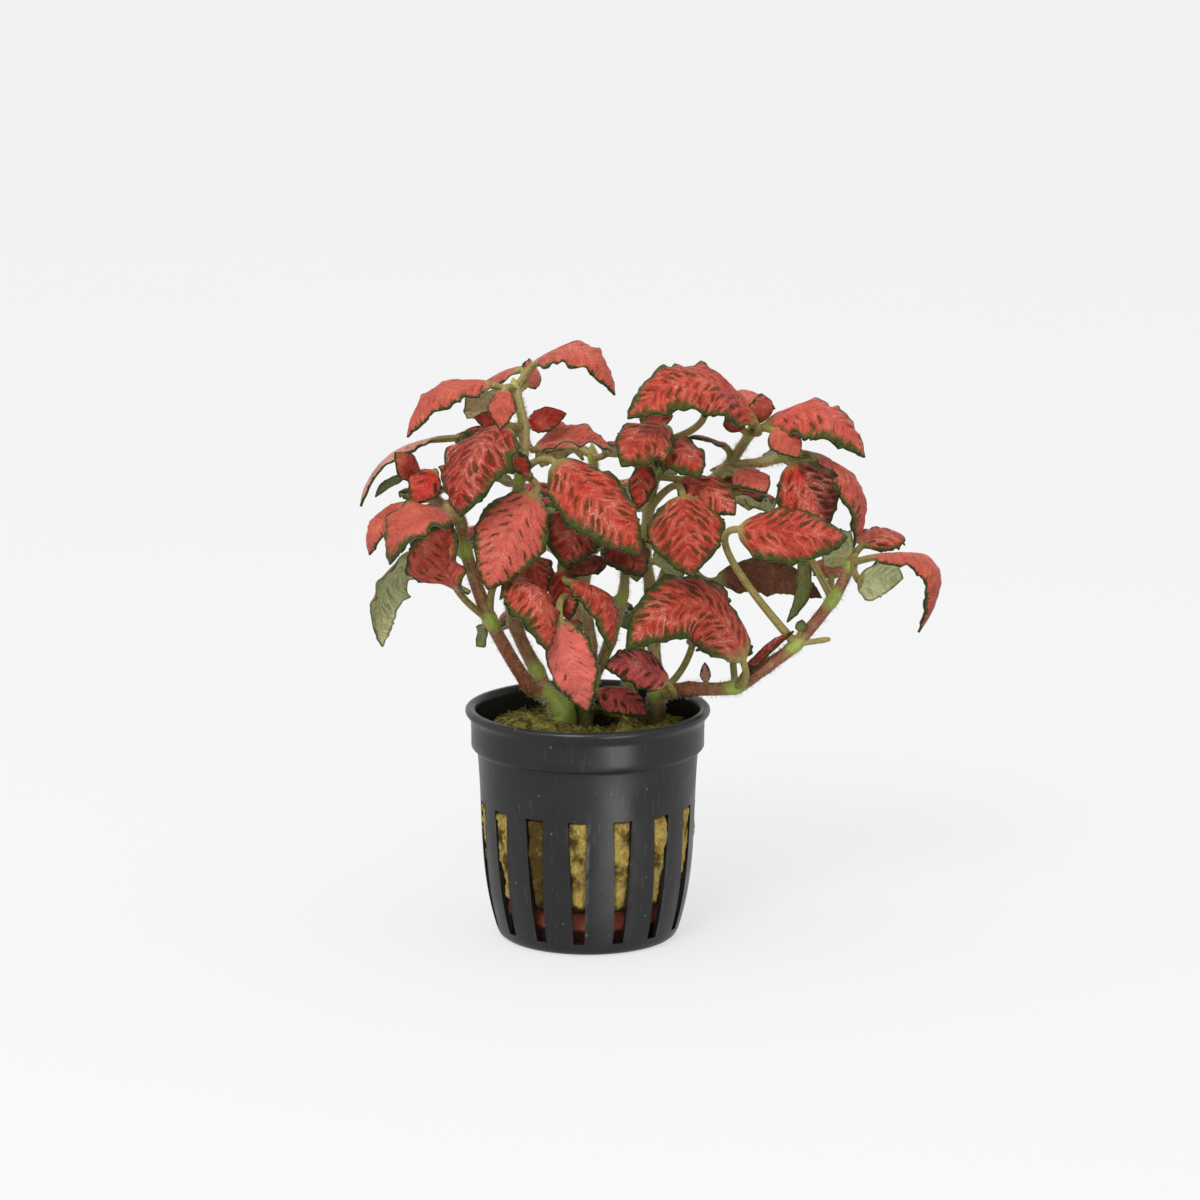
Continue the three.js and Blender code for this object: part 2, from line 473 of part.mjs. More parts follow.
// The rings of a stalk from the stem's joint to the blade's base, whose line it meets. The stalk is
// straighter the more its blade turns back over the joint
function stalkRings(joint, bladeBase, half) {
  const end = placed(joint);
  const reach = end.distanceTo(bladeBase.at);
  const turn = end.clone().sub(bladeBase.at).dot(bladeBase.along) / reach;
  const back = THREE.MathUtils.clamp((turn - STALK_BEND.from) / (STALK_BEND.to - STALK_BEND.from), 0, 1);
  const pull = THREE.MathUtils.lerp(STALK_BEND.most, STALK_BEND.least, back);
  const bend = bladeBase.at.clone().addScaledVector(bladeBase.along, -pull * reach);
  const curve = new THREE.QuadraticBezierCurve3(bladeBase.at, bend, end);
  const r = half < 2 ? STALK_R * 0.7 : STALK_R;
  const rings = [];
  for (let i = 1; i <= STALK_STEPS; i += 1) {
    rings.push({
      at: curve.getPoint(i / STALK_STEPS),
      along: curve.getTangent(i / STALK_STEPS).negate(),
      half: r,
      lean: 0,
      edge: 0,
      thick: (v) => r * Math.sqrt(1 - 0.75 * v * v),
    });
  }
  return carryNormals(rings, bladeBase.normal).reverse();
}

// A point of a leaf's ring: v runs from edge to edge, and side is 1 on the upper face and -1 below
function leafPoint({ at, across, normal, half, lean, edge, thick }, v, side) {
  const out = half * Math.abs(v);
  return at
    .clone()
    .addScaledVector(across, Math.sign(v) * out * Math.cos(lean))
    .addScaledVector(normal, out * Math.sin(lean) + edge * v * v + (side * thick(v)) / Math.cos(lean));
}

// A closed sheet over a grid of cells, split into triangles alike on its two faces
function closedSheet(rings, columns) {
  const rows = rings.length - 1;
  const grid = new THREE.PlaneGeometry(2, 1, columns, rows);
  const flat = grid.attributes.position;
  const count = flat.count;
  const places = new Float32Array(count * 6);
  for (let i = 0; i < count; i += 1) {
    const ring = rings[Math.round((0.5 + flat.getY(i)) * rows)];
    leafPoint(ring, flat.getX(i), 1).toArray(places, i * 3);
    leafPoint(ring, flat.getX(i), -1).toArray(places, (count + i) * 3);
  }
  const faces = [];
  const cells = grid.index.array;
  for (let i = 0; i < cells.length; i += 3) {
    const [a, b, c] = [cells[i], cells[i + 1], cells[i + 2]];
    faces.push(a, b, c, count + a, count + c, count + b);
  }
  const wide = columns + 1;
  const rim = [];
  for (let c = 0; c < columns; c += 1) rim.push(c);
  for (let r = 0; r < rows; r += 1) rim.push(r * wide + columns);
  for (let c = columns; c > 0; c -= 1) rim.push(rows * wide + c);
  for (let r = rows; r > 0; r -= 1) rim.push(r * wide);
  rim.forEach((a, i) => {
    const b = rim[(i + 1) % rim.length];
    faces.push(a, b, count + b, a, count + b, count + a);
  });
  const geometry = new THREE.BufferGeometry();
  geometry.setAttribute("position", new THREE.BufferAttribute(places, 3));
  geometry.setIndex(faces);
  return geometry;
}

// A leaf in one piece: its stalk from the joint and its waved blade
function leafBody(joint, leaf) {
  const half = leaf[4];
  const blade = bladeRings(leaf, half < SMALL_HALF ? SMALL_ROWS : LARGE_ROWS);
  return closedSheet([...stalkRings(joint, blade[0], half), ...blade], half < LARGE_HALF ? 2 : 4);
}

function stalkStub() {
  const way = new THREE.LineCurve3(placed(STUB.from), placed(STUB.to));
  const rings = [0, 1].map((t) => ({ at: way.getPoint(t), along: way.getTangent(t), r: STUB.r }));
  return drum(carryNormals(rings, new THREE.Vector3(0, 0, 1)), STEM_SIDES);
}

function fuse(geometries) {
  return geometries.map(solid).reduce((whole, next) => whole.add(next));
}

// The largest connected body of a fused solid, so that no loose scrap is left
function largest(body) {
  return body.decompose().reduce((a, b) => (a.volume() > b.volume() ? a : b));
}

function cutting(name) {
  const { root, stems } = CUTTINGS[name];
  const parts = Object.values(stems).map((stem, i) => stemBody(stem, i === 0 ? root : null));
  for (const leaf of LEAVES[name]) parts.push(leafBody(stems[leaf[0]].joints[leaf[1]], leaf));
  if (name === "right_cutting") parts.push(stalkStub());
  return largest(fuse(parts));
}

const plant = new THREE.Group();

function addPiece(name, body, skin) {
  const mesh = new THREE.Mesh(geometryOf(body), new THREE.MeshStandardMaterial(SKIN[skin]));
  mesh.name = name;
  plant.add(mesh);
}

addPiece("net_pot", netPot(), "pot");
addPiece("clay_ring", clayRing(), "clay");
addPiece("wool_plug", woolPlug(), "wool");
for (const name of Object.keys(CUTTINGS)) addPiece(name, cutting(name), "leaf");

export default plant;
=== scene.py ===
"""A red nerve plant in a slotted net pot: its finished pieces, their finishes and a pale studio."""

import math
from collections import namedtuple

import bpy
import numpy as np
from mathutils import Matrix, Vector, noise


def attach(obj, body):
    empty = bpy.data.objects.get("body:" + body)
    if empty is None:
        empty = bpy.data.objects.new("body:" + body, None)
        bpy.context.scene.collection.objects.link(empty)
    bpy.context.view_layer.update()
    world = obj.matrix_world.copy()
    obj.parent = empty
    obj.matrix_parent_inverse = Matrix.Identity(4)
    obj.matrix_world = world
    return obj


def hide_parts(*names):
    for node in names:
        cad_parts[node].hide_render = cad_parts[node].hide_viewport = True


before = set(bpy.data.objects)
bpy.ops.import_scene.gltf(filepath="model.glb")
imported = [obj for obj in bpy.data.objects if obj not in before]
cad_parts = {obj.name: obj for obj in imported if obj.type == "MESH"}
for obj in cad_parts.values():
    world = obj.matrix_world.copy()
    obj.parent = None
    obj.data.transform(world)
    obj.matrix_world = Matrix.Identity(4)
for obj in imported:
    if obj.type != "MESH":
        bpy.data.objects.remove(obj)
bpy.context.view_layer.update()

bl_info = {
    "name": "Potted Nerve Plant",
    "version": (1, 0, 0),
    "blender": (4, 5, 0),
    "location": "3D View > Sidebar > Nerve Plant",
    "description": "Builds a red nerve plant in a net pot from its packed model",
    "category": "Object",
}

BODY = "root"
MM = 0.001

# The pot, in millimetres
RIM_R = 25.0
RIM_Z = 48.0
BAND_R = 23.8
WALL_TOP_R = 22.6
WALL = 1.0
FLOOR = 1.3
WALL_OUTLINE = [(1.4, 18.6), (7.5, 20.2), (19.0, 21.6), (39.1, WALL_TOP_R)]
SLOTS = 15
SLOT_TURN = math.radians(-5.2)
SLOT_LOW_Z = 2.7
SLOT_HIGH_Z = 28.9
SLOT_LOW_WIDTH = 2.2
SLOT_HIGH_WIDTH = 4.0
SLOT_ROWS = 14
SLOT_COLUMNS = 3
RIB_COLUMNS = 6
FLOOR_TURN_R = 16.0
FLOOR_SLOTS = 6
FLOOR_SLOT_WIDTH = 2.4
FLOOR_SLOT_FROM = 6.0
FLOOR_SLOT_TO = 13.0

# What the pot holds. Each row of lumps gives their share of the full height, how close they lie, and a seed
RING_R = 16.4
RING_HOLE = 5.5
RING_LOW_Z = 1.6
RING_HIGH_Z = 8.9
WOOL_LOW_Z = 9.2
WOOL_TOP_Z = 43.6
WOOL_TOP_R = 20.9
WOOL_OUTLINE = [(WOOL_LOW_Z, 18.4), (21.0, 20.2), (42.2, WOOL_TOP_R)]
HOLLOW_X = 3.0
HOLLOW_Y = 6.0
HOLLOW_R = 9.0
HOLLOW_DEPTH = 4.0
MOUND_X = -11.5
MOUND_Y = -1.0
MOUND_R = 7.0
MOUND_HEIGHT = 2.2
TUFT_X = 7.6
TUFT_Y = -5.0
TUFT_R = 2.4
TUFT_HEIGHT = 3.6
SLOT_BULGE = 1.3
FIBRE_R = 0.07
LUMPS = ((0.7, 0.34, 3), (0.45, 1.1, 9))
TOP_LUMPS = (0.35, 1.7, 4)

# Stems and leaves
ROOT_Z = 35.0
COLLAR_Z = 45.0
STALK_R = 0.72
EDGE_WAVE = 0.1
EDGE_DROOP = 0.12
ROUNDING = 0.55
POINTING = 0.8
JOINT_SWELL = 0.22
JOINT_REACH = 1.4
GREEN_REACH = 2.6
STEM_SIDES = 14
STEM_STEP = 0.8
BUD = ((0.5, 0.98), (1.0, 0.86), (1.6, 0.66), (2.2, 0.4), (2.6, 0.14))
HAIRS_PER_MM = 26
HAIRS_FROM_Z = 46
HAIR_R = 0.048
HAIR_SINK = 0.06
STALK_BEND_MOST = 0.5
STALK_BEND_LEAST = 0.12
STALK_BEND_FROM = -0.2
STALK_BEND_TO = 0.3

# The fine form of a blade: what its edge, its quilted halves and its thickness add to the plain form
LARGE_HALF = 4.2
TOOTH_PITCH = 3.7
TOOTH_HEIGHT = 0.09
RUFFLE_PITCH = 4.4
SHORT_RUFFLE_PITCH = 2.7
RUFFLE_HEIGHT = 0.06
VEIN_LEAN = 0.72
QUILT_HEIGHT = 0.3
TIP_CURL = 0.09
HALF_THICK = 0.27
EDGE_THINNING = 0.13
MIDRIB_HALF = 0.42

# The studio, in metres. The sweep's reach is in millimetres, as the pieces are
TARGET = (0.0025, 0, 0.070)
SENSOR_MM = 36
SWEEP_REACH = 9000.0
LIT_PLACE = (0, 0, 0.06)
OVERHEAD_PLACE = (-0.3, -0.5, 1.2)
FRONT_PLACE = (-0.3, -0.9, 0.95)
STRIP_PLACE = (0.62, -1.1, -0.2)

# The places below are laid out on a shallow plan. Those above the wool are moved along their line from the
# viewpoint until the plant is DEPTH times as deep, so from there its outline stays the same
DEPTH = 1.35
VIEWPOINT = np.array((2.5, -978.0, 278.0))
SPREAD_FROM_Z = 47
SPREAD_FULL_Z = 60

# Each cutting: where it stands in the wool with its radius there, and its stems. A stem has its joints
# from the collar up, its radius and how red-brown it is at both ends, which of its joints are green and,
# if it is rooted, how green its foot is
Stem = namedtuple("Stem", "joints r blush green foot", defaults=(0,))
Cutting = namedtuple("Cutting", "root stems")
CUTTINGS = {
    "left_cutting": Cutting((-5.2, 3.5, 2.8), {
        "left_rise": Stem(
            [(-5.2, 3.5, 46), (-8, 3, 49.5), (-12, 1, 52), (-19.8, -4, 66.9), (-24.7, -8, 82.4),
             (-25.8, -9, 88.4), (-31, -6, 92.2), (-34.6, -5, 95.2)],
            r=(1.55, 0.95), blush=(0.95, 0.45), green=(1, 3, 4), foot=1.0,
        ),
        "tall_rise": Stem(
            [(-8, 3, 49.5), (-10.4, 5, 54), (-14.7, 5, 63.7), (-16.6, 1, 79), (-13.4, -4.5, 96.8),
             (-12.8, -4.5, 106.2), (-14.4, -4, 113.8)],
            r=(1.5, 0.95), blush=(0.75, 0.1), green=(0, 1, 4),
        ),
    }),
    "centre_cutting": Cutting((-0.4, 5.6, 1.5), {
        "centre_rise": Stem(
            [(-0.4, 5.6, 46), (0.8, 3, 52), (0.6, -2, 61.2), (-0.6, -3, 70.8), (-2.6, -3, 79.4),
             (-3.6, 0, 88)],
            r=(1.35, 0.85), blush=(0.5, 0.3), green=(1, 3), foot=0.35,
        ),
        "centre_side": Stem(
            [(0.8, 3, 52), (4.6, 2.5, 61), (7.2, 1, 71), (7.6, -2, 79.5)],
            r=(1.2, 0.85), blush=(0.45, 0.3), green=(0, 2),
        ),
    }),
    "right_cutting": Cutting((14, 3.5, 1.9), {
        "right_sprawl": Stem(
            [(14, 3.5, 46), (14.6, 3, 50), (20.8, 0, 51.4), (30, -3, 52.6), (36.1, -4, 57),
             (42.2, -4, 61.7), (49.7, -2, 70.6), (53.4, 0, 77.4)],
            r=(1.6, 1.15), blush=(0.7, 0.75), green=(1, 3, 5, 6, 7), foot=0.35,
        ),
        "middle_rise": Stem(
            [(14.6, 3, 50), (13.4, 8, 59.8), (12.9, 8, 70.3), (11.7, 6.5, 78.4), (12.4, 4, 88),
             (13.8, 1, 95.4), (16.2, -1, 103)],
            r=(1.3, 0.9), blush=(0.5, 0.15), green=(0, 3, 5),
        ),
    }),
    "back_right_cutting": Cutting((8, 11, 1.6), {
        "back_rise": Stem(
            [(8, 11, 46), (9.5, 13, 54), (14, 15, 67), (19, 13, 80), (24, 8.5, 91.4), (28.6, 6, 96.7),
             (33.2, 2.5, 104.4)],
            r=(1.4, 0.95), blush=(0.5, 0.25), green=(1, 4, 6), foot=0.35,
        ),
        "back_side": Stem(
            [(28.6, 6, 96.7), (35.4, 0.5, 98.4), (41.2, -3.5, 100.4)],
            r=(0.95, 0.85), blush=(0.3, 0.15), green=(2,),
        ),
    }),
    "back_left_cutting": Cutting((-3, 12, 1.6), {
        "rear_rise": Stem(
            [(-3, 12, 46), (-2.8, 14, 54), (-1.6, 18, 65), (0.6, 21, 77), (1.6, 22, 88), (1, 21, 96)],
            r=(1.4, 0.9), blush=(0.5, 0.3), green=(1, 3, 5), foot=0.35,
        ),
    }),
}

# Leaves, by the cutting that bears them: the stem and joint, the blade's base and tip, its half width,
# how far its middle arches off its chord, the way its upper face looks, the fold of its halves in degrees,
# how far it bows sideways in its own face, and the look it has in LOOKS
Leaf = namedtuple("Leaf", "stem joint base tip half rise face fold bow look")
LEFT_LEAVES = [
    ("left_rise", 3, (-26.5, -9, 74.5), (-27.6, -12, 89), 9, 2, (-0.6, -0.8, 0), 36, 0, "bright"),
    ("left_rise", 3, (-15.4, -11, 77), (-7.8, -19, 63.6), 6.6, 4.6, (0.8, -0.9, 0.6), -22, 0, "coral"),
    ("left_rise", 3, (-20.9, -1, 64.6), (-22.4, 0.5, 60.2), 2.4, 0.3, (0.6, 0.6, -0.5), 0, 0, "sprout"),
    ("left_rise", 4, (-35.4, -3, 80.4), (-42, -3, 60.8), 5.8, 4, (-1, 0.7, 0.3), -16, 0, "coral"),
    ("left_rise", 5, (-27, -12, 89.4), (-39.9, -15, 80.4), 6.2, 5, (-0.5, -0.6, 1), 12, 0, "smooth"),
    ("left_rise", 6, (-36.8, -3.6, 90.4), (-44.2, -4.5, 80.2), 3.6, 2.8, (-0.7, -0.7, 1), -10, 0, "young"),
    ("left_rise", 7, (-34.4, -6.4, 96.2), (-38.6, -7, 101.8), 2.7, 0.8, (0.5, -1, 0.5), -6, 0, "painted_shade_small"),
    ("left_rise", 7, (-36.8, -3, 96.4), (-43, 1.5, 91.2), 1.5, 0.6, (0.1, 0.4, 1), 8, 0, "painted_sheen"),
    ("left_rise", 6, (-30.8, -7.6, 97.8), (-35, -11, 92), 3.4, 1, (0.1, -1, 0.5), -8, 0, "red"),
    ("left_rise", 6, (-31.6, -3, 93.6), (-34.2, 4, 90), 5.4, 1.4, (-0.2, 0.8, 0.7), -8, 0, "green"),
    ("tall_rise", 4, (-10.6, -10, 93.6), (-20, -16.5, 75.4), 7.4, 3, (0, -1, 0.35), -12, 0.6, "rosy"),
    ("tall_rise", 4, (-6.4, -9, 100), (10.8, -17, 82.8), 7.5, 2.8, (0.3, -1, 0.6), -15, 0, "coral"),
    ("tall_rise", 4, (-11.9, -7.6, 97.6), (-16.2, -9.6, 103.2), 2, 0.6, (-0.3, -1, 0.3), -6, 0, "red"),
    ("tall_rise", 5, (-16.8, -8.6, 107), (-25.6, -17.5, 90.4), 8.7, 5, (-0.7, -0.9, 0.9), -12, 0, "rich"),
    ("tall_rise", 5, (-10.4, -3, 101.6), (5.2, -1.5, 101), 5.4, 2.4, (0, -0.25, 1), 22, 0, "young"),
    ("tall_rise", 5, (-12, -4, 106.8), (-4.2, -4.4, 109.2), 2.5, 0.8, (0, -1, 0.4), -8, 0, "painted_shade_small"),
    ("tall_rise", 5, (-15.6, -4.6, 106.8), (-22.8, -4, 108.4), 2.2, 0.6, (0, -1, 0.5), -8, 0, "painted_shade_small"),
    ("tall_rise", 5, (-29.6, 1, 103), (-46, -3, 90), 3.3, 3.8, (-0.5, 0.05, 1), -6, 0, "painted_sheen"),
    ("tall_rise", 6, (-16.6, -7.6, 114.2), (-17.4, -10.6, 107), 2.8, 1.2, (-0.1, -1, 0.3), -10, 0, "young"),
    ("tall_rise", 6, (-19.4, -5, 115), (-36.3, -8, 105), 4.3, 5.2, (-0.35, -0.5, 1), -12, 0, "young"),
    ("tall_rise", 6, (-10.6, -4, 119), (5.8, -8, 113.6), 5.4, 6.8, (0, -0.24, 1), -8, 0, "young"),
    ("tall_rise", 6, (-13.4, -0.5, 117.4), (-21.6, 8, 112.6), 3.6, 0.8, (-0.2, -0.3, 1), -10, 0, "young"),
    ("tall_rise", 6, (-17.2, 1, 112.2), (-24.6, 6, 106.6), 4.4, 1.6, (-0.2, 0.9, 0.5), -10, 0, "green"),
    ("tall_rise", 6, (-12.4, -2.6, 114.8), (-11, 4, 118), 2.8, 0.8, (0.9, -0.3, 0.5), 8, 0, "young"),
    ("tall_rise", 5, (-17, -1.5, 104.6), (-25.6, 6, 99.4), 6.2, 3, (-0.2, 0.5, 1), -14, 0, "coral"),
    ("tall_rise", 3, (-20, 6, 82), (-30.6, 14, 76.4), 7, 3.6, (-0.5, 0.5, 1), -16, 0, "coral"),
    ("tall_rise", 3, (-13.4, -3, 80.4), (-8.6, -8, 72.6), 4.6, 1.8, (0.3, -0.8, 0.8), -10, 0, "green"),
    ("tall_rise", 4, (-17.4, 1.4, 94.6), (-24.4, 9, 90.4), 5.2, 2.6, (-0.3, 0.5, 1), -12, 0, "coral"),
    ("left_rise", 4, (-26, -1.6, 80.4), (-28.4, 7.6, 77), 5, 2.4, (-0.3, 0.4, 1), -12, 0, "coral"),
    ("left_rise", 5, (-28, -2.4, 89), (-30.8, 7, 86.6), 4.6, 2.2, (-0.2, 0.4, 1), -12, 0, "young"),
]

CENTRE_LEAVES = [
    ("centre_rise", 3, (-5.4, -14.5, 68.6), (0.1, -20.6, 51.4), 5, 2.2, (-0.3, -1, 0.4), -10, 0, "pink"),
    ("centre_rise", 4, (-3.2, -9.6, 75.6), (4.4, -15.6, 63), 4.6, 5.4, (0.9, -0.8, 0.6), -20, 0, "coral"),
    ("centre_rise", 4, (-5.4, -7, 77.6), (-3.6, -9.6, 67.8), 3.2, 1, (0, -1, 0.2), -4, 0, "dark"),
    ("centre_rise", 5, (-0.8, -4.4, 91), (-4.8, -10.4, 78.8), 6.4, 2, (0, -1, 0.4), -10, 0, "dark"),
    ("centre_side", 3, (5, -6, 84.4), (11.3, -10.6, 77), 4.8, 1.6, (0.4, -1, 0.5), -10, 0, "dark"),
    ("centre_rise", 4, (3.6, -4, 79), (-4.2, -7.4, 76.6), 2.6, 0.8, (0, -0.7, 0.9), 0, 0, "brown"),
    ("centre_rise", 1, (2.4, 1.6, 50.6), (12, -3.6, 47), 4.1, 1.2, (0, -0.6, 1), -8, 0, "wine"),
    ("centre_side", 2, (4.8, 5, 69), (3.4, 13, 63), 5, 2, (0.1, 0.4, 1), -14, 0, "coral"),
    ("centre_rise", 5, (-4.6, 4.4, 88.6), (-11.4, 12.4, 83.6), 6.2, 3, (-0.2, 0.5, 1), -14, 0, "coral"),
    ("centre_rise", 2, (-2.6, 4, 63), (-8.6, 12, 60), 5.2, 2.4, (-0.3, 0.5, 0.9), -14, 0, "coral"),
]

RIGHT_LEAVES = [
    ("right_sprawl", 3, (31.4, -8, 59), (7.8, -15, 63), 8.2, 6, (0, -1, 0.8), -8, 8.4, "coral"),
    ("right_sprawl", 3, (31, -4, 54.6), (41.6, -5.6, 64.8), 1.6, 0.6, (-0.5, -0.5, 0.6), 20, 0, "brown"),
    ("right_sprawl", 2, (24, -2, 53.4), (23.8, -3, 57.6), 1.1, 0.2, (0, -1, 0), 0, 0, "painted_sheen"),
    ("right_sprawl", 5, (30.2, -15, 87.6), (52.2, -15, 86.2), 6.3, 3, (-0.1, -1, 0.8), -10, 1.4, "coral"),
    ("right_sprawl", 5, (43, -4.6, 64.4), (43.4, -5.2, 67), 1.2, 0.2, (0, 1, -0.2), 0, 0, "sprout"),
    ("right_sprawl", 6, (43.6, 1.4, 81.2), (40.8, 3, 64.6), 2.6, 2.8, (1, 0.5, 0.3), -8, 0, "sprout"),
    ("right_sprawl", 7, (53.6, 1.4, 78.2), (46.8, 2.6, 82.6), 4.6, 1.2, (-0.3, 1, 0.5), -6, 0, "green"),
    ("right_sprawl", 7, (56.4, -2.4, 79), (67.2, -6, 64.4), 4.6, 11, (0.75, -0.4, 0.8), -12, 0, "young"),
    ("right_sprawl", 7, (55.6, 2.6, 80.6), (64.4, 8.4, 81.4), 5.2, 2, (0, -0.3, 1), -10, 0, "coral"),
    ("right_sprawl", 7, (55, -3, 74.6), (64, 1, 74.6), 5.2, 1, (0.1, 1, 0.35), -4, 0, "green"),
    ("right_sprawl", 1, (16, -7.6, 54.4), (3.4, -12, 58.8), 4.4, 1.6, (0, -1, 0.7), -8, 1.4, "wine"),
    ("right_sprawl", 1, (21.4, 8, 58.6), (30.4, 12.6, 62), 6.8, 3.4, (0.2, 0.3, 1), -14, 0, "coral"),
    ("middle_rise", 3, (13.6, 3, 77.4), (19.6, -1.6, 76.2), 4, 1, (0.2, 0.8, 0.6), -4, 0, "green"),
    ("middle_rise", 4, (19.2, -8, 92.8), (20.4, -15, 78), 8, 2.4, (0, -1, 0.3), -10, 0, "coral"),
    ("middle_rise", 5, (19, -3, 95.4), (29.8, -8.6, 89.4), 5.4, 1.8, (0.2, -0.8, 1), -10, 0, "coral"),
    ("middle_rise", 6, (15.4, -5.4, 106.4), (6.6, -12, 99.8), 6, 2.6, (-0.3, -1, 0.6), -10, 0, "coral"),
    ("middle_rise", 6, (12.8, -5, 101.8), (22.4, -10, 97), 5.6, 2.6, (0.3, -0.8, 1), -12, -1.4, "coral"),
    ("middle_rise", 6, (14.6, 0.4, 105.4), (13, 3.4, 109), 3.4, 0.8, (0, -1, 0.5), -6, 0, "dark"),
    ("middle_rise", 6, (23.6, 0, 109), (22.6, 8, 112.4), 3.8, 1, (0, -0.4, 1), -10, 0, "coral"),
    ("middle_rise", 5, (11.6, -2.6, 98.4), (10.2, -6.4, 90), 2.7, 0.8, (-0.1, -1, 0.3), -6, 0, "red"),
    ("middle_rise", 4, (9, 7.4, 88.6), (1.6, 13, 84), 6.2, 2.8, (-0.3, 0.5, 1), -14, 0, "coral"),
    ("middle_rise", 2, (17, 5.6, 70.4), (26, 4.4, 65.4), 5.6, 2.4, (0.3, 0.5, 0.9), -14, 0, "green"),
    ("middle_rise", 5, (14, 6, 96.4), (15, 14.6, 92.8), 5.2, 2.4, (0.1, 0.5, 1), -12, 0, "coral"),
    ("right_sprawl", 3, (29.6, 3.4, 57), (26.4, 13, 60.4), 5.6, 2.6, (0.1, 0.2, 1), -12, 0, "coral"),
    ("right_sprawl", 6, (49.6, 4.6, 73.6), (50.4, 13, 75), 4.4, 2, (0, 0.2, 1), -10, 0, "young"),
]

BACK_RIGHT_LEAVES = [
    ("back_rise", 6, (33.6, -3.4, 107.2), (7.8, -12.6, 109.8), 7.9, 7.4, (0, -0.65, 1), -6, 3, "coral"),
    ("back_rise", 6, (33.2, 3.4, 107.6), (31.4, 10, 111.6), 4.6, 1.2, (0.2, -0.4, 1), -10, 0, "young"),
    ("back_rise", 6, (34, -0.6, 106.8), (35, -3, 113), 3.2, 1, (0.3, -1, 0.4), -6, 0, "young"),
    ("back_rise", 6, (36.2, -1, 106.4), (56, -6, 100.6), 6.4, 6.6, (0.1, -0.55, 1), -12, -0.6, "bright"),
    ("back_rise", 6, (37.4, -4.4, 105.6), (42.4, -8, 100.8), 3.4, 1.4, (0.1, -1, 0.6), -8, 0, "young"),
    ("back_rise", 6, (31, -1.6, 105.6), (28, -3, 109.4), 2.6, 0.6, (-0.2, -1, 0.3), 0, 0, "dark"),
    ("back_rise", 5, (27.6, 3.6, 101.2), (20.4, 0.2, 103.6), 2.4, 0.6, (0, -0.1, 1), -6, 0, "dark"),
    ("back_rise", 5, (30.6, 1.4, 96.2), (36, -4.6, 93), 3.8, 1, (0.2, -0.8, 1), -6, 0, "young"),
    ("back_side", 2, (41.4, -5.6, 99.4), (48, -8.6, 86), 7.2, 2.4, (-0.1, -1, 0.25), -20, 0, "split"),
    ("back_side", 2, (44.8, -2.4, 100.4), (54, -4, 81.6), 4.8, 6.2, (0.9, -0.5, 0.5), -14, 0, "bright"),
    ("back_side", 1, (38, 4.6, 98.6), (45.6, 12, 94.4), 6.4, 3, (0.3, 0.4, 1), -14, 0, "coral"),
    ("back_rise", 3, (26.4, 7.4, 72.6), (48, 7, 69), 4.2, 4, (0.1, 1, 0.25), -16, 1.6, "brown"),
    ("back_rise", 4, (27.4, 13, 91), (33.6, 22, 84.6), 7, 3.6, (0.3, 0.6, 0.9), -14, 0, "coral"),
    ("back_rise", 3, (18, 18, 80.6), (13, 28, 75.4), 7, 3.4, (-0.1, 0.8, 0.9), -14, 0, "coral"),
    ("back_rise", 2, (19, 19, 68.6), (28, 26, 61.4), 7, 3.6, (0.5, 0.6, 0.8), -14, 0, "red"),
    ("back_rise", 4, (29, 11.4, 89.6), (38, 18, 84.6), 5.6, 2.8, (0.3, 0.5, 1), -14, 0, "coral"),
    ("back_rise", 5, (29.4, 10.6, 94.8), (31.4, 19, 90.4), 5, 2.4, (0.1, 0.5, 1), -12, 0, "young"),
]

BACK_LEFT_LEAVES = [
    ("rear_rise", 5, (3.6, 19, 96.6), (12, 14, 96), 5.6, 2.6, (0.1, 0.5, 1), -8, 0, "green"),
    ("rear_rise", 5, (-1.4, 22.4, 97), (-10, 29, 92.4), 6.2, 3, (-0.3, 0.6, 1), -14, 0, "young"),
    ("rear_rise", 4, (5, 26, 88.6), (11, 33, 82), 6.6, 3.6, (0.3, 0.7, 0.9), -14, 0, "coral"),
    ("rear_rise", 4, (-5, 20.6, 88.4), (-19, 19.6, 84), 7, 3.8, (-0.5, 0.2, 1), -16, 0, "coral"),
    ("rear_rise", 3, (3.6, 25, 76.6), (10.6, 30, 67.6), 6, 3.4, (0.4, 0.7, 0.8), -14, 0, "red"),
    ("rear_rise", 3, (-6.4, 25.4, 77.6), (-16.6, 31, 69.4), 7, 3.6, (-0.5, 0.6, 0.8), -14, 0, "coral"),
    ("rear_rise", 2, (2.6, 22.6, 64.6), (10, 26, 57), 6, 3, (0.4, 0.5, 0.9), -14, 0, "dark"),
    ("rear_rise", 2, (-8.4, 19.6, 64.6), (-20, 19, 57.6), 6.6, 3.4, (-0.6, 0.3, 0.8), -14, 0, "coral"),
]

LEAVES = {
    "left_cutting": LEFT_LEAVES,
    "centre_cutting": CENTRE_LEAVES,
    "right_cutting": RIGHT_LEAVES,
    "back_right_cutting": BACK_RIGHT_LEAVES,
    "back_left_cutting": BACK_LEFT_LEAVES,
}

# The stub of a stalk whose leaf was cut off, on the right-hand stem
STUB_FROM = (42.2, -4, 61.7)
STUB_TO = (49, -6, 63.2)
STUB_R = 0.6
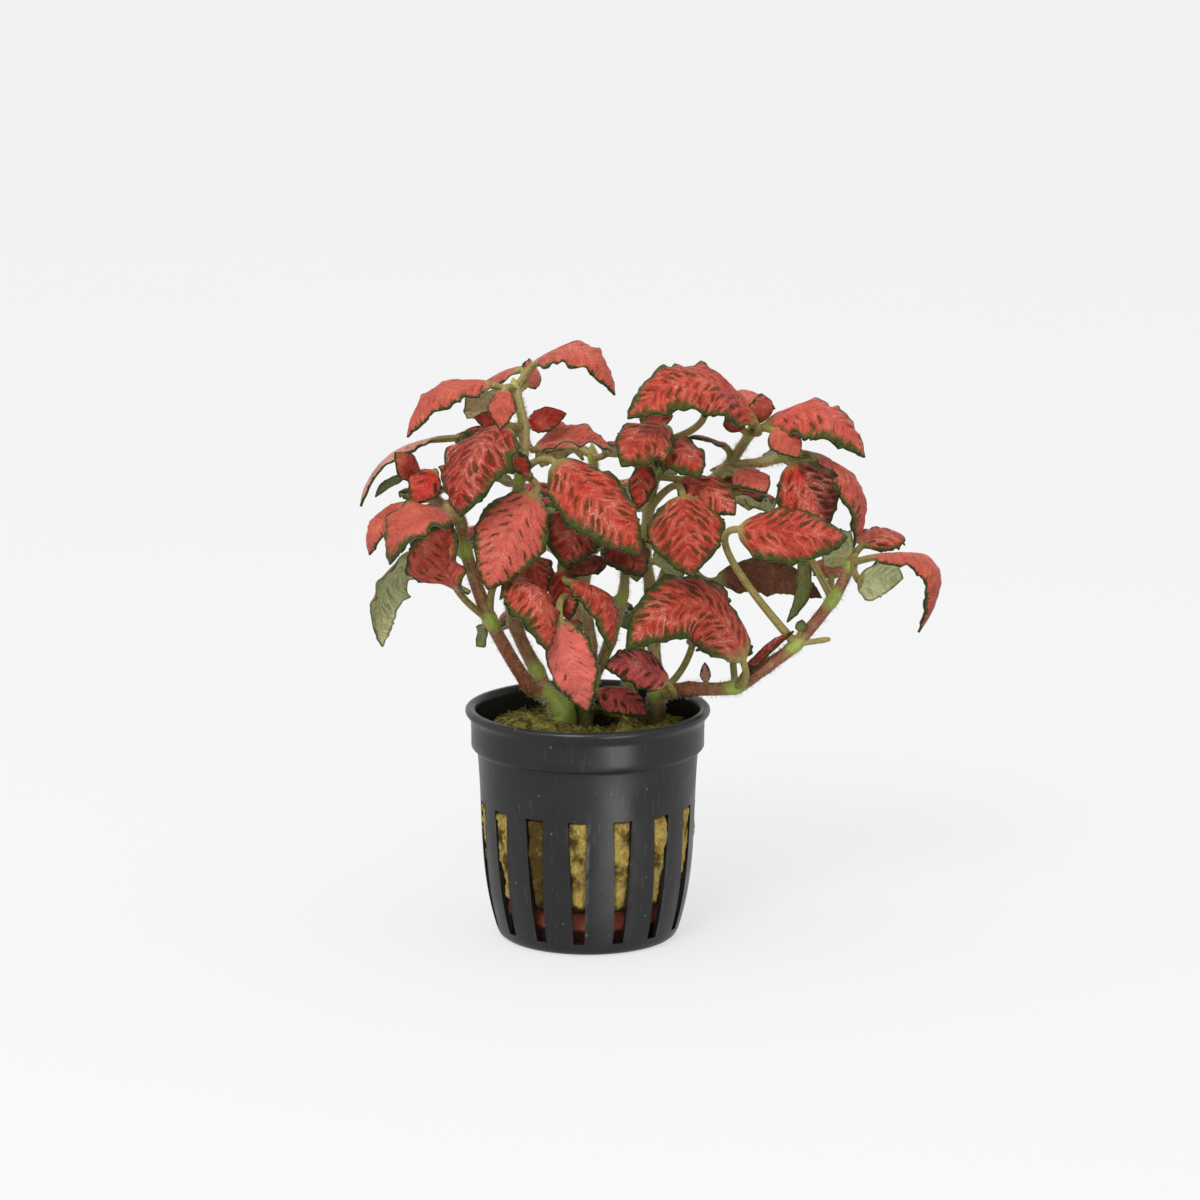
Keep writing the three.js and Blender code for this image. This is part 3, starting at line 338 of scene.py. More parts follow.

# The tones of each look's face and back, how strongly it is marked between its veins, how much painted
# shade darkens those marks, its veins and its rim, and how wide its green rim is. A painted shade side of
# -1 or 1 paints heavy shade on that half of the blade
Look = namedtuple("Look", "face back marks shade rim dark_side", defaults=(0,))
LOOKS = {
    "coral": Look("coral", "pale_back", 1.0, 0.2, 1.0),
    "bright": Look("bright", "pale_back", 0.8, 0.1, 1.0),
    "rosy": Look("rosy", "pale_back", 0.6, 0.1, 1.0),
    "rich": Look("rich", "pale_back", 1.1, 0.3, 1.0),
    "smooth": Look("young", "pale_back", 0.12, 0.2, 1.3),
    "sprout": Look("dull_back", "dull_back", 0.3, 0.4, 0.5),
    "pink": Look("pink", "pale_back", 0.45, 0.1, 0.7),
    "young": Look("young", "pale_back", 0.3, 0.3, 0.4),
    # Painted sheen: whitish leaves seen from their edge
    "painted_sheen": Look("painted_sheen", "dull_back", 0.2, 0.6, 0.4),
    "wine": Look("wine", "dull_back", 1.1, 0.9, 0.6),
    # Painted shade: small leaves in shadow
    "painted_shade_small": Look("painted_shade_small", "dull_back", 0.2, 0.9, 0.35),
    # Painted shade: leaves inside the plant
    "dark": Look("dark", "dull_back", 0.6, 0.9, 0.8),
    "split": Look("red", "dull_back", 1.1, 0.4, 0.9, dark_side=-1),
    "red": Look("red", "dull_back", 1.1, 0.7, 0.9),
    "green": Look("coral", "pale_back", 1.0, 0.2, 0.6),
    # Painted shade on its face
    "brown": Look("dark", "brown_back", 0.9, 0.7, 0.6),
}


def screen(red, green, blue):
    """A colour given as on a screen, from 0 to 255, as the linear values that shaders take"""
    shares = np.array([red, green, blue]) / 255
    return tuple(np.where(shares <= 0.04045, shares / 12.92, ((shares + 0.055) / 1.055) ** 2.4))


def colour(name, description, *screen_values):
    """A colour that a user may change"""
    return bpy.props.FloatVectorProperty(
        name=name, description=description, subtype="COLOR", size=3, min=0, max=1,
        default=screen(*screen_values),
    )


def number(name, description, default, **traits):
    """A number from 0 up that a user may change"""
    return bpy.props.FloatProperty(name=name, description=description, min=0, default=default, **traits)


def length(name, description, millimetres):
    """A length, given in millimetres and kept in metres"""
    return number(name, description, millimetres * MM, subtype="DISTANCE", unit="LENGTH")


def share(name, description, default):
    """A number from 0 to 1"""
    return number(name, description, default, subtype="FACTOR", max=1)


def count(name, description, least, default):
    """A whole number that a user may change"""
    return bpy.props.IntProperty(name=name, description=description, min=least, default=default)


def power(name, description, watts):
    """How strong a lamp is"""
    return number(name, description, watts, subtype="POWER", unit="POWER")


class PotSettings(bpy.types.PropertyGroup):
    plastic: colour("Plastic", "Charcoal of the net pot", 28, 28, 28)
    scuff: colour("Scuffs", "Dust and scuffs on the plastic", 104, 104, 102)
    roughness: share("Roughness", "How dull the plastic is", 0.31)
    edge: length("Edge", "Rounding of the moulded edges", 0.14)


class FillingSettings(bpy.types.PropertyGroup):
    wool: colour("Wool", "Golden mineral wool", 214, 186, 100)
    moss: colour("Moss", "Green film on the wool's top", 150, 142, 72)
    # Also the colour of the painted shade on the wool's left side, in its hollow and along its lower edge
    stain_and_shade: colour("Stain", "Wet dark wool", 72, 56, 20)
    rust: colour("Rust", "Rusty stains in the wool", 170, 104, 42)
    clay: colour("Clay", "Fired clay of the weight ring", 190, 100, 72)
    lump: length("Lumps", "Height of the wool's lumps", 1.7)
    fibres: count("Fibres", "Loose fibres on the wool", 0, 3200)


class FoliageSettings(bpy.types.PropertyGroup):
    coral: colour("Coral face", "Flesh between the veins on most leaves", 195, 62, 45)
    # Painted light: the bright face is a lit copy of the coral face
    bright: colour("Bright face", "Leaves in full light", 212, 86, 70)
    # Partly the leaf's own pale pink, partly a painted sheen
    rosy: colour("Rosy face", "The pale pink leaf at the left of the front", 242, 112, 96)
    rich: colour("Rich face", "The deeper red leaf above it", 164, 38, 28)
    # Partly the leaf's own pale pink, partly a painted sheen
    pink: colour("Pink face", "The pinkest leaf, low at the front", 242, 116, 104)
    young: colour("Young face", "Small leaves at the tops", 208, 94, 76)
    wine: colour("Wine face", "Old leaves low in the plant", 190, 74, 76)
    # Painted sheen: the whitish face of leaves seen from their edge
    painted_sheen: colour("Dusty face", "Whitish leaves seen from their edge", 206, 150, 134)
    # Painted shade: the dark red face of small leaves in shadow
    painted_shade_small: colour("Deep face", "Small dark red leaves", 156, 32, 22)
    # Painted shade: the darkened face of leaves inside the plant
    dark: colour("Dark face", "Leaves inside the plant", 130, 26, 18)
    red: colour("Red face", "Strongly marked leaves", 204, 50, 38)
    vein: colour("Veins", "Pink lines of the veins", 232, 124, 100)
    # Painted highlight: whitish glints along some veins
    painted_glint_colour: colour("Flecks", "Whitish flecks along some veins", 250, 206, 192)
    pale_back: colour("Pale back", "Underside of most leaves", 246, 248, 188)
    dull_back: colour("Dull back", "Underside of old leaves", 140, 148, 90)
    brown_back: colour("Brown back", "Reddened underside", 132, 84, 64)
    mark: colour("Marks", "Olive islands between the veins", 98, 66, 26)
    # Painted shade: islands darkened on shaded leaves
    painted_shade_mark: colour("Dark marks", "Islands on dark leaves", 56, 26, 14)
    margin: colour("Margin", "Green rim of a leaf", 76, 94, 38)
    edge: colour("Edge", "Very edge of a leaf", 38, 48, 26)
    stalk: colour("Stalk", "Leaf stalks", 174, 160, 96)
    stem: colour("Stem", "Red-brown stems", 152, 84, 56)
    joint: colour("Joint", "Green joints and feet of the stems", 170, 188, 78)
    # Partly moss, partly painted shade low at the wool
    foot: colour("Foot", "Mossy foot of a stem", 78, 78, 32)
    hair: colour("Hairs", "Fine hairs on the stems", 236, 232, 222)
    rows: count("Rows", "Rows of a large blade", 8, 44)
    columns: count("Columns", "Columns of a large blade", 6, 24)
    margin_width: length("Margin width", "Green rim of a large leaf", 1.7)
    vein_pitch: length("Vein pitch", "Distance between side veins", 2.9)
    hair_length: length("Hair length", "Longest hairs on the stems", 1.15)


class StageSettings(bpy.types.PropertyGroup):
    floor: colour("Floor", "Pale lit table under the plant", 140, 140, 140)
    table: number("Table light", "Glow of the table", 0.62)
    sky: number("Room light", "Light from straight above", 0.85)
    low_sky: number("Low light", "Light from below", 0.5)
    overhead: number("Overhead light", "Wide light above", 0.5)
    front: power("Front light", "Soft box above the camera, to its left", 6.6)
    strip: power("Strip light", "Tall soft box low at the camera's right", 5.5)
    elevation: number(
        "Camera height", "Camera's angle over the plant", math.radians(12), subtype="ANGLE", unit="ROTATION"
    )
    distance: length("Camera distance", "From the middle of the picture", 1000)
    lens: number("Lens", "Focal length", 147.7, subtype="DISTANCE_CAMERA", unit="CAMERA")


class PlantSettings(bpy.types.PropertyGroup):
    pot: bpy.props.PointerProperty(type=PotSettings)
    filling: bpy.props.PointerProperty(type=FillingSettings)
    foliage: bpy.props.PointerProperty(type=FoliageSettings)
    stage: bpy.props.PointerProperty(type=StageSettings)


class Shape:
    """Points in millimetres, faces and what each point carries, gathered until they become one mesh"""

    def __init__(self):
        self.points = []
        self.faces = []
        self.finishes = []
        self.carried = {}
        self.count = 0

    def add(self, points, faces, finish=0, **carried):
        """Adds a part. Each group of faces is an array with one row of point numbers for each face"""
        points = np.asarray(points, float).reshape(-1, 3)
        for group in faces:
            self.faces.append(np.asarray(group, int) + self.count)
            self.finishes.append(np.full(len(group), finish))
        for name, values in carried.items():
            self.carried.setdefault(name, []).append((self.count, np.asarray(values, float)))
        self.points.append(points)
        self.count += len(points)

    def piece(self, name, finishes, smooth_angle=None):
        """The gathered parts as one object, with its materials"""
        mesh = bpy.data.meshes.new(name)
        points = np.vstack(self.points) * MM
        loops = np.concatenate([group.ravel() for group in self.faces])
        totals = np.concatenate([np.full(len(group), group.shape[1]) for group in self.faces])
        mesh.vertices.add(len(points))
        mesh.vertices.foreach_set("co", points.ravel())
        mesh.loops.add(len(loops))
        mesh.loops.foreach_set("vertex_index", loops)
        mesh.polygons.add(len(totals))
        mesh.polygons.foreach_set("loop_start", np.concatenate([[0], np.cumsum(totals)[:-1]]))
        mesh.polygons.foreach_set("material_index", np.concatenate(self.finishes))
        mesh.update(calc_edges=True)
        for key, parts in self.carried.items():
            self.carry(mesh, key, parts)
        for finish in finishes:
            mesh.materials.append(finish)
        mesh.shade_smooth()
        if smooth_angle:
            mesh.set_sharp_from_angle(angle=smooth_angle)
        made = bpy.data.objects.new(name, mesh)
        bpy.context.scene.collection.objects.link(made)
        return made

    @staticmethod
    def carry(mesh, key, parts):
        """Writes one named value of the points, a number or a row of three"""
        wide = parts[0][1].ndim > 1
        values = np.zeros((len(mesh.vertices), 3) if wide else len(mesh.vertices))
        for start, part in parts:
            values[start:start + len(part)] = part
        layer = mesh.attributes.new(key, "FLOAT_VECTOR" if wide else "FLOAT", "POINT")
        layer.data.foreach_set("vector" if wide else "value", values.ravel())


class Finish:
    """A material and the short words that build its nodes"""

    def __init__(self, name):
        self.material = bpy.data.materials.new(name)
        self.material.use_nodes = True
        self.tree = self.material.node_tree
        self.tree.nodes.clear()
        self.surface = self.node("BsdfPrincipled")
        output = self.node("OutputMaterial")
        self.tree.links.new(self.surface.outputs[0], output.inputs[0])

    def node(self, kind, **settings):
        made = self.tree.nodes.new("ShaderNode" + kind)
        for key, value in settings.items():
            setattr(made, key, value)
        return made

    def put(self, socket, value):
        """Links a socket to another, or sets it to a plain value"""
        if isinstance(value, bpy.types.NodeSocket):
            self.tree.links.new(value, socket)
        elif socket.type == "RGBA":
            socket.default_value = (*value[:3], 1)
        else:
            socket.default_value = value

    def set(self, **values):
        """Sets the surface's own sockets: base_color becomes Base Color, and so on"""
        for key, value in values.items():
            words = key.replace("_", " ").title().replace("Ior", "IOR")
            self.put(self.surface.inputs[words], value)

    def carried(self, name):
        """What the mesh's points carry under a name, as a number and as three"""
        made = self.node("Attribute", attribute_name=name)
        return made.outputs["Fac"], made.outputs["Vector"]

    def split(self, vector):
        made = self.node("SeparateXYZ")
        self.put(made.inputs[0], vector)
        return made.outputs

    def join(self, x, y, z=0.0):
        made = self.node("CombineXYZ")
        for socket, value in zip(made.inputs, (x, y, z)):
            self.put(socket, value)
        return made.outputs[0]

    def math(self, operation, *values):
        made = self.node("Math", operation=operation)
        for socket, value in zip(made.inputs, values):
            self.put(socket, value)
        return made.outputs[0]

    def times(self, first, second):
        return self.math("MULTIPLY", first, second)

    def times_plus(self, first, second, third):
        return self.math("MULTIPLY_ADD", first, second, third)

    def reach(self, x, y):
        """How far a place lies from the middle"""
        return self.math("SQRT", self.times_plus(x, x, self.times(y, y)))

    def step(self, value, low, high, start=0.0, end=1.0):
        """A soft step: start below low, and end above high"""
        made = self.node("MapRange", interpolation_type="SMOOTHSTEP")
        for socket, number in zip(made.inputs, (value, low, high, start, end)):
            self.put(socket, number)
        return made.outputs[0]

    def noise(self, vector, scale, detail=2.0, roughness=0.5):
        made = self.node("TexNoise")
        self.put(made.inputs["Vector"], vector)
        made.inputs["Scale"].default_value = scale
        made.inputs["Detail"].default_value = detail
        made.inputs["Roughness"].default_value = roughness
        return made.outputs["Fac"]

    def swing(self, vector, scale, detail=2.0, roughness=0.5):
        """Noise that swings about 0"""
        return self.math("SUBTRACT", self.noise(vector, scale, detail, roughness), 0.5)

    def cells(self, vector, feature, randomness=1.0, scale=1.0, dimensions="2D"):
        made = self.node("TexVoronoi", feature=feature, voronoi_dimensions=dimensions)
        self.put(made.inputs["Vector"], vector)
        made.inputs["Scale"].default_value = scale
        made.inputs["Randomness"].default_value = randomness
        return made.outputs

    def mix(self, part, first, second):
        made = self.node("Mix", data_type="RGBA", clamp_factor=True)
        self.put(made.inputs[0], part)
        self.put(made.inputs[6], first)
        self.put(made.inputs[7], second)
        return made.outputs[2]

    def scaled(self, tone, level):
        """A tone times a level, which is a number or a socket"""
        made = self.node("Mix", data_type="RGBA", blend_type="MULTIPLY")
        made.inputs[0].default_value = 1
        self.put(made.inputs[6], tone)
        self.put(made.inputs[7], (level,) * 3 if isinstance(level, float) else level)
        return made.outputs[2]

    def shade(self, part, tone, low, high):
        """A tone made darker or lighter as part goes from 0 to 1"""
        return self.scaled(tone, self.step(part, 0.0, 1.0, low, high))

    def relief(self, height, depth, strength=1.0):
        """A bump of that depth in metres"""
        made = self.node("Bump")
        made.inputs["Strength"].default_value = strength
        made.inputs["Distance"].default_value = depth
        self.put(made.inputs["Height"], height)
        self.tree.links.new(made.outputs[0], self.surface.inputs["Normal"])

    def place(self):
        """Where a point is, in millimetres"""
        made = self.node("VectorMath", operation="SCALE")
        self.tree.links.new(self.node("TexCoord").outputs["Object"], made.inputs[0])
        made.inputs["Scale"].default_value = 1 / MM
        return made.outputs[0]


def unit(vectors):
    """The same directions at length 1"""
    return vectors / np.linalg.norm(vectors, axis=-1, keepdims=True)


def ease(values, low, high):
    """A soft step from 0 at low to 1 at high"""
    part = np.clip((values - low) / (high - low), 0, 1)
    return part * part * (3 - 2 * part)


def placed(layout):
    """Places of the layout as they are on the plant, which is spread front to back"""
    flat = np.array(layout, float)
    part = ease(flat[..., 2:], SPREAD_FROM_Z, SPREAD_FULL_Z)
    shift = part * (DEPTH - 1) * flat[..., 1:2] / (flat[..., 1:2] - VIEWPOINT[1])
    return flat + (flat - VIEWPOINT) * shift


def grid_faces(rows, columns, closed=False):
    """Quads over rows of points. A closed grid joins its last column to its first"""
    wide = columns if closed else columns + 1
    row, column = np.meshgrid(np.arange(rows), np.arange(columns), indexing="ij")
    after = (column + 1) % wide
    quads = [row * wide + column, row * wide + after, (row + 1) * wide + after, (row + 1) * wide + column]
    return np.stack(quads, -1).reshape(-1, 4)


def fan(centre, first, columns, flipped=False):
    """Triangles that close a ring of points, which starts at first, round a centre point"""
    column = np.arange(columns)
    after = (column + 1) % columns
    pair = (first + after, first + column) if flipped else (first + column, first + after)
    return np.stack([np.full(columns, centre), *pair], -1)


def carried_frames(along, first):
    """Turns each ring's normal as little as possible from the ring before it"""
    normals = np.empty_like(along)
    normal = np.asarray(first, float)
    for i, way in enumerate(along):
        normal = normal - way * normal.dot(way)
        normal = normal / np.linalg.norm(normal)
        normals[i] = normal
    return normals, unit(np.cross(along, normals))


def bezier(start, bend, end, t):
    """Places and directions along a curve with one bend"""
    t = t[:, None]
    places = (1 - t) ** 2 * start + 2 * t * (1 - t) * bend + t * t * end
    ways = 2 * (1 - t) * (bend - start) + 2 * t * (end - bend)
    return places, unit(ways)


def add_tube(shape, places, along, radii, sides, first=(1.0, 0, 0), finish=0, ridges=0.0, **carried):
    """A closed tube over rings along a line, each with a radius of its own"""
    normals, across = carried_frames(along, first)
    turns = np.arange(sides) * 2 * math.pi / sides
    wide = radii[:, None] * (1 + ridges * np.cos(4 * turns))
    out = np.cos(turns)[:, None] * normals[:, None] + np.sin(turns)[:, None] * across[:, None]
    points = (places[:, None] + wide[..., None] * out).reshape(-1, 3)
    total = len(points)
    points = np.vstack([points, places[0], places[-1]])
    rows = len(places) - 1
    foot = fan(total, 0, sides, flipped=True)
    head = fan(total + 1, rows * sides, sides)
    spread = {}
    for name, values in carried.items():
        values = np.asarray(values, float)
        spread[name] = np.concatenate([np.repeat(values, sides, axis=0), values[:1], values[-1:]])
    shape.add(points, [grid_faces(rows, sides, closed=True), foot, head], finish, **spread)


def stem_line(joints, t):
    """Places and directions on the smooth line through a stem's joints"""
    spans = len(joints) - 1
    ends = np.vstack([2 * joints[0] - joints[1], joints, 2 * joints[-1] - joints[-2]])
    i = np.minimum((t * spans).astype(int), spans - 1)
    u = (t * spans - i)[:, None]
    before, start, end, after = ends[i], ends[i + 1], ends[i + 2], ends[i + 3]
    leave = 0.5 * (end - before)
    arrive = 0.5 * (after - start)
    square = -3 * start + 3 * end - 2 * leave - arrive
    cube = 2 * start - 2 * end + leave + arrive
    places = start + leave * u + square * u ** 2 + cube * u ** 3
    ways = leave + 2 * square * u + 3 * cube * u ** 2
    return places, unit(ways)


def outline(t):
    """The blade's half width along it, as a share of its widest"""
    widest = ROUNDING / (ROUNDING + POINTING)
    peak = widest ** ROUNDING * (1 - widest) ** POINTING
    return t ** ROUNDING * (1 - t) ** POINTING / peak


def add_stem(shape, plan, root, seed, hairs):
    """A stem with swollen joints and a bud at its top, which starts down in the wool where it has a root.
    The rings that hairs may stand on go into hairs"""
    joints = placed(plan.joints)
    foot, top = plan.r
    spans = len(joints) - 1
    reach = np.linalg.norm(np.diff(joints, axis=0), axis=1).sum()
    t = np.linspace(0, 1, max(int(reach / STEM_STEP), 4 * spans) + 1)
    places, along = stem_line(joints, t)
    radii = foot + (top - foot) * t
    gap = np.linalg.norm(places[:, None] - joints[None, 1:], axis=2).min(axis=1)
    radii = radii * (1 + JOINT_SWELL * np.exp(-((gap / JOINT_REACH) ** 2)))
    green_gap = np.linalg.norm(places[:, None] - joints[None, list(plan.green)], axis=2).min(axis=1)
    green = np.exp(-((green_gap / GREEN_REACH) ** 2))
    blush = np.interp(t, (0, 1), plan.blush)
    if root:
        x, y, r = root
        low = np.array([(x, y, z) for z in np.arange(ROOT_Z, COLLAR_Z + 0.5, 1.0)], float)
        radii = radii + (r - foot) * np.maximum(1 - t * spans, 0)
        green = np.maximum(green, plan.foot * (1 - ease(places[:, 2], COLLAR_Z + 3, COLLAR_Z + 7)))
        places = np.vstack([low, places])
        along = np.vstack([np.tile((0, 0, 1.0), (len(low), 1)), along])
        radii = np.concatenate([np.full(len(low), r), radii])
        green = np.concatenate([np.full(len(low), plan.foot), green])
        blush = np.concatenate([np.full(len(low), blush[0]), blush])
    hairs.append((places, along, radii))
    rise, shares = np.array(BUD).T
    places = np.vstack([places, places[-1] + rise[:, None] * along[-1]])
    along = np.vstack([along, np.tile(along[-1], (len(BUD), 1))])
    radii = np.concatenate([radii, radii[-1] * shares])
    green = np.concatenate([green, np.full(len(BUD), 0.4)])
    blush = np.concatenate([blush, np.full(len(BUD), blush[-1])])
    run = np.concatenate([[0], np.cumsum(np.linalg.norm(np.diff(places, axis=0), axis=1))])
    spot = np.stack([run, np.zeros_like(run), np.full_like(run, seed)], -1)
    add_tube(shape, places, along, radii, STEM_SIDES, ridges=0.05, finish=1,
             place=spot, green=green, blush=blush)


def blade_rings(leaf, rows):
    """The rings of a blade along its arched midrib, from its base to its tip"""
    base, tip = placed(leaf.base), placed(leaf.tip)
    along = unit(tip - base)
    up = unit(np.array(leaf.face, float))
    up = unit(up - along * up.dot(along))
    crown = (base + tip) / 2 + up * 2 * leaf.rise + np.cross(along, up) * 2 * leaf.bow
    even = np.linspace(0, 1, rows + 1)
    t = 0.5 * even + 0.5 * (0.5 - 0.5 * np.cos(math.pi * even))
    places, ways = bezier(base, crown, tip, t)
    across = unit(np.cross(ways, up))
    run = np.concatenate([[0], np.cumsum(np.linalg.norm(np.diff(places, axis=0), axis=1))])
    return t, places, ways, across, np.cross(across, ways), run


def add_leaf(shape, joint, leaf, seed, settings):
    """A leaf in one closed sheet: a round stalk that opens into a waved blade, quilted between its veins"""
    half, fold, look = leaf.half, math.radians(leaf.fold), LOOKS[leaf.look]
    draw = np.random.default_rng(seed)
    large = half >= LARGE_HALF
    rows = settings.rows if large else settings.rows * 2 // 3
    columns = settings.columns if large else settings.columns * 2 // 3
    coarse_rows = 6 if large else 3
    t, places, ways, across, normal, run = blade_rings(leaf, rows)
    r = STALK_R if half >= 2 else STALK_R * 0.7
    width = half * outline(t)

    # The stalk runs back from the blade's base to the stem, straighter where the blade turns back over it
    joint = placed(joint)
    reach = np.linalg.norm(joint - places[0])
    steps = max(int(reach / 1.0), 4)
    turn = ways[0].dot(joint - places[0]) / reach
    turned = np.clip((turn - STALK_BEND_FROM) / (STALK_BEND_TO - STALK_BEND_FROM), 0, 1)
    pull = STALK_BEND_MOST + (STALK_BEND_LEAST - STALK_BEND_MOST) * turned
    bend = places[0] - ways[0] * pull * reach
    back, back_ways = bezier(places[0], bend, joint, np.linspace(0, 1, steps + 1)[1:])
    back_normal, back_across = carried_frames(-back_ways, normal[0])
    back_run = -np.linspace(0, reach, steps + 1)[1:]

    # Blade and stalk as one run of rings, from the stem to the tip
    def both(stalk_part, blade_part):
        return np.concatenate([np.asarray(stalk_part)[::-1], blade_part])

    places, normal, across = both(back, places), both(back_normal, normal), both(back_across, across)
    run = both(back_run, run)
    t = both(np.zeros(steps), t)
    width = both(np.zeros(steps), width)
    open_share = ease(t, 0.0, 0.17)
    swell = both(np.linspace(0, 1, steps) ** 4 * 0.3 * r, np.zeros(rows + 1))
    floor_width = np.where(t < 0.5, r + swell, 0.12)

    # Each ring's points, from edge to edge
    v = np.linspace(-1, 1, columns + 1)
    size = np.abs(v)
    phase = draw.uniform(0, 2 * math.pi, 6)
    side_phase = np.where(v > 0, phase[0], phase[1])
    uneven = run[:, None] + 0.8 * np.sin(run[:, None] * 0.9 + side_phase)
    teeth = np.maximum(np.cos(2 * math.pi * uneven / TOOTH_PITCH + side_phase), -0.3) ** 3
    teeth = TOOTH_HEIGHT * min(half, 5) * (teeth + 0.25 * np.cos(4.4 * uneven))
    grow = 1 + np.where(width[:, None] > 1, teeth / np.maximum(width[:, None], 1), 0)
    reach_out = np.maximum(width, floor_width)[:, None] * grow
    flat = reach_out * v
    rounded = reach_out * np.sin(v * math.pi / 2)
    part = open_share[:, None]
    out = rounded + (flat - rounded) * part
    far = np.sqrt(out ** 2 + 0.16) - 0.4
    lift = far * math.sin(fold) * part
    wave = EDGE_WAVE * np.cos(math.pi * t * coarse_rows) - EDGE_DROOP
    lift = lift + (width * wave)[:, None] * v ** 2
    ruffle = np.sin(2 * math.pi * run[:, None] / RUFFLE_PITCH + side_phase)
    ruffle = ruffle + 0.6 * np.sin(2 * math.pi * run[:, None] / SHORT_RUFFLE_PITCH + 2 * side_phase)
    lift = lift + RUFFLE_HEIGHT * width[:, None] * ruffle * size ** 3 * min(half / 6, 1)
    lift = lift + 0.05 * width[:, None] * np.sin(math.pi * size) * part
    pitch = settings.vein_pitch / MM
    vein = run[:, None] - VEIN_LEAN * np.abs(out) + phase[2]
    groove = (0.5 + 0.5 * np.cos(2 * math.pi * vein / pitch)) ** 4
    quilt = (QUILT_HEIGHT * (1 - groove) - 0.16) * ease(np.abs(out), 0.3, 1.6) * (1 - ease(size, 0.8, 1.0))
    lift = lift + quilt * part * min(half / 6, 1.2)
    sway = np.sin(run[:, None] * 0.35 + phase[3]) * np.sin(out * 0.5 + phase[4])
    lift = lift + 0.03 * width[:, None] * sway * part
    curl = ease(t, 0.82, 1.0)[:, None]
    lift = lift - TIP_CURL * half * curl ** 2
    thin = HALF_THICK - EDGE_THINNING * size ** 3
    rib = np.exp(-((out / MIDRIB_HALF) ** 2)) * (1 - t[:, None])
    round_thick = np.maximum((r + swell)[:, None] * np.cos(v * math.pi / 2), 0.06)
    upper_thick = round_thick + (thin - 0.12 * rib - round_thick) * part
    lower_thick = round_thick + (thin + 0.26 * rib - round_thick) * part
    sideways = np.cos(fold * part) * out

    def surface(thick):
        level = (lift + thick)[..., None]
        return places[:, None] + across[:, None] * sideways[..., None] + normal[:, None] * level

    points = np.concatenate([surface(upper_thick).reshape(-1, 3), surface(-lower_thick).reshape(-1, 3)])
    total = len(points) // 2
    total_rows = len(places) - 1
    faces = grid_faces(total_rows, columns)
    rim = rim_loop(total_rows, columns)
    after = np.roll(rim, -1)
    bridge = np.stack([rim, rim + total, after + total, after], -1)

    # What the surface shader reads
    slope = np.gradient(np.maximum(width, floor_width), run)
    level_share = 1 / np.sqrt(1 + slope ** 2)
    rim_gap = ((1 - size)[None] * reach_out * level_share[:, None]).ravel()
    spot = np.stack([np.broadcast_to(run[:, None], out.shape), out, np.full_like(out, seed % 97 * 3.7)], -1)
    spot = spot.reshape(-1, 3)
    rim_width = settings.margin_width / MM * min(max(half / 6.5, 0.35), 1.1) * look.rim
    # Painted shade: the half on a look's shaded side takes a darkened face tone and full shade in its
    # traits
    painted_shade_half = np.tile(ease(v * look.dark_side, 0.0, 0.12), 2 * len(places))[:, None]
    light_traits = np.array((look.marks, rim_width, look.shade))
    traits = light_traits * (1 - painted_shade_half) + (0.7, rim_width, 1.0) * painted_shade_half
    stalk = 1 - ease(t, 0.0, 0.1)
    tint = 1 + draw.uniform(-0.09, 0.09)
    face_tone = np.array(getattr(settings, look.face)) * tint
    back_tone = np.array(getattr(settings, look.back)) * tint
    shape.add(
        points, [faces[:, ::-1], faces + total, bridge],
        place=np.concatenate([spot, spot]),
        rim_gap=np.concatenate([rim_gap, rim_gap]),
        upper=np.concatenate([np.ones(total), np.zeros(total)]),
        stalk=np.tile(np.repeat(stalk, columns + 1), 2),
        traits=traits,
        face_tone=face_tone * (1 - painted_shade_half) + np.array(settings.dark) * 0.3 * painted_shade_half,
        back_tone=np.tile(back_tone, (total * 2, 1)),
    )


def rim_loop(rows, columns):
    """The numbers of a grid's outermost points, in order"""
    wide = columns + 1
    low = np.arange(columns)
    right = np.arange(rows) * wide + columns
    high = rows * wide + np.arange(columns, 0, -1)
    left = np.arange(rows, 0, -1) * wide
    return np.concatenate([low, right, high, left])


def add_hairs(shape, lines, longest, seed):
    """Fine white hairs that stand out of the stems, each a thin closed cone"""
    draw = np.random.default_rng(seed)
    for places, along, radii in lines:
        seen = places[:, 2] > HAIRS_FROM_Z
        places, along, radii = places[seen], along[seen], radii[seen]
        total = int(len(places) * STEM_STEP * HAIRS_PER_MM)
        pick = draw.integers(0, len(places) - 1, total)
        slide = draw.uniform(0, 1, total)[:, None]
        centre = places[pick] * (1 - slide) + places[pick + 1] * slide
        way = along[pick]
        out = draw.normal(size=(total, 3))
        out = unit(out - way * (out * way).sum(1, keepdims=True))
        lean = unit(out + way * draw.uniform(-0.2, 0.6, total)[:, None])
        tall = longest * draw.uniform(0.35, 1.0, total)[:, None]
        foot = centre + out * (radii[pick][:, None] - HAIR_SINK)
        side = unit(np.cross(lean, way))
        other = np.cross(lean, side)
        turns = (0, 2 * math.pi / 3, 4 * math.pi / 3)
        corners = [foot + HAIR_R * (math.cos(turn) * side + math.sin(turn) * other) for turn in turns]
        points = np.stack([*corners, foot + lean * tall], 1).reshape(-1, 3)
        base = np.arange(total)[:, None] * 4
        cone = np.array([[0, 2, 1], [0, 1, 3], [1, 2, 3], [2, 0, 3]])
        shape.add(points, [(base[:, :, None] + cone).reshape(-1, 3)], finish=2)


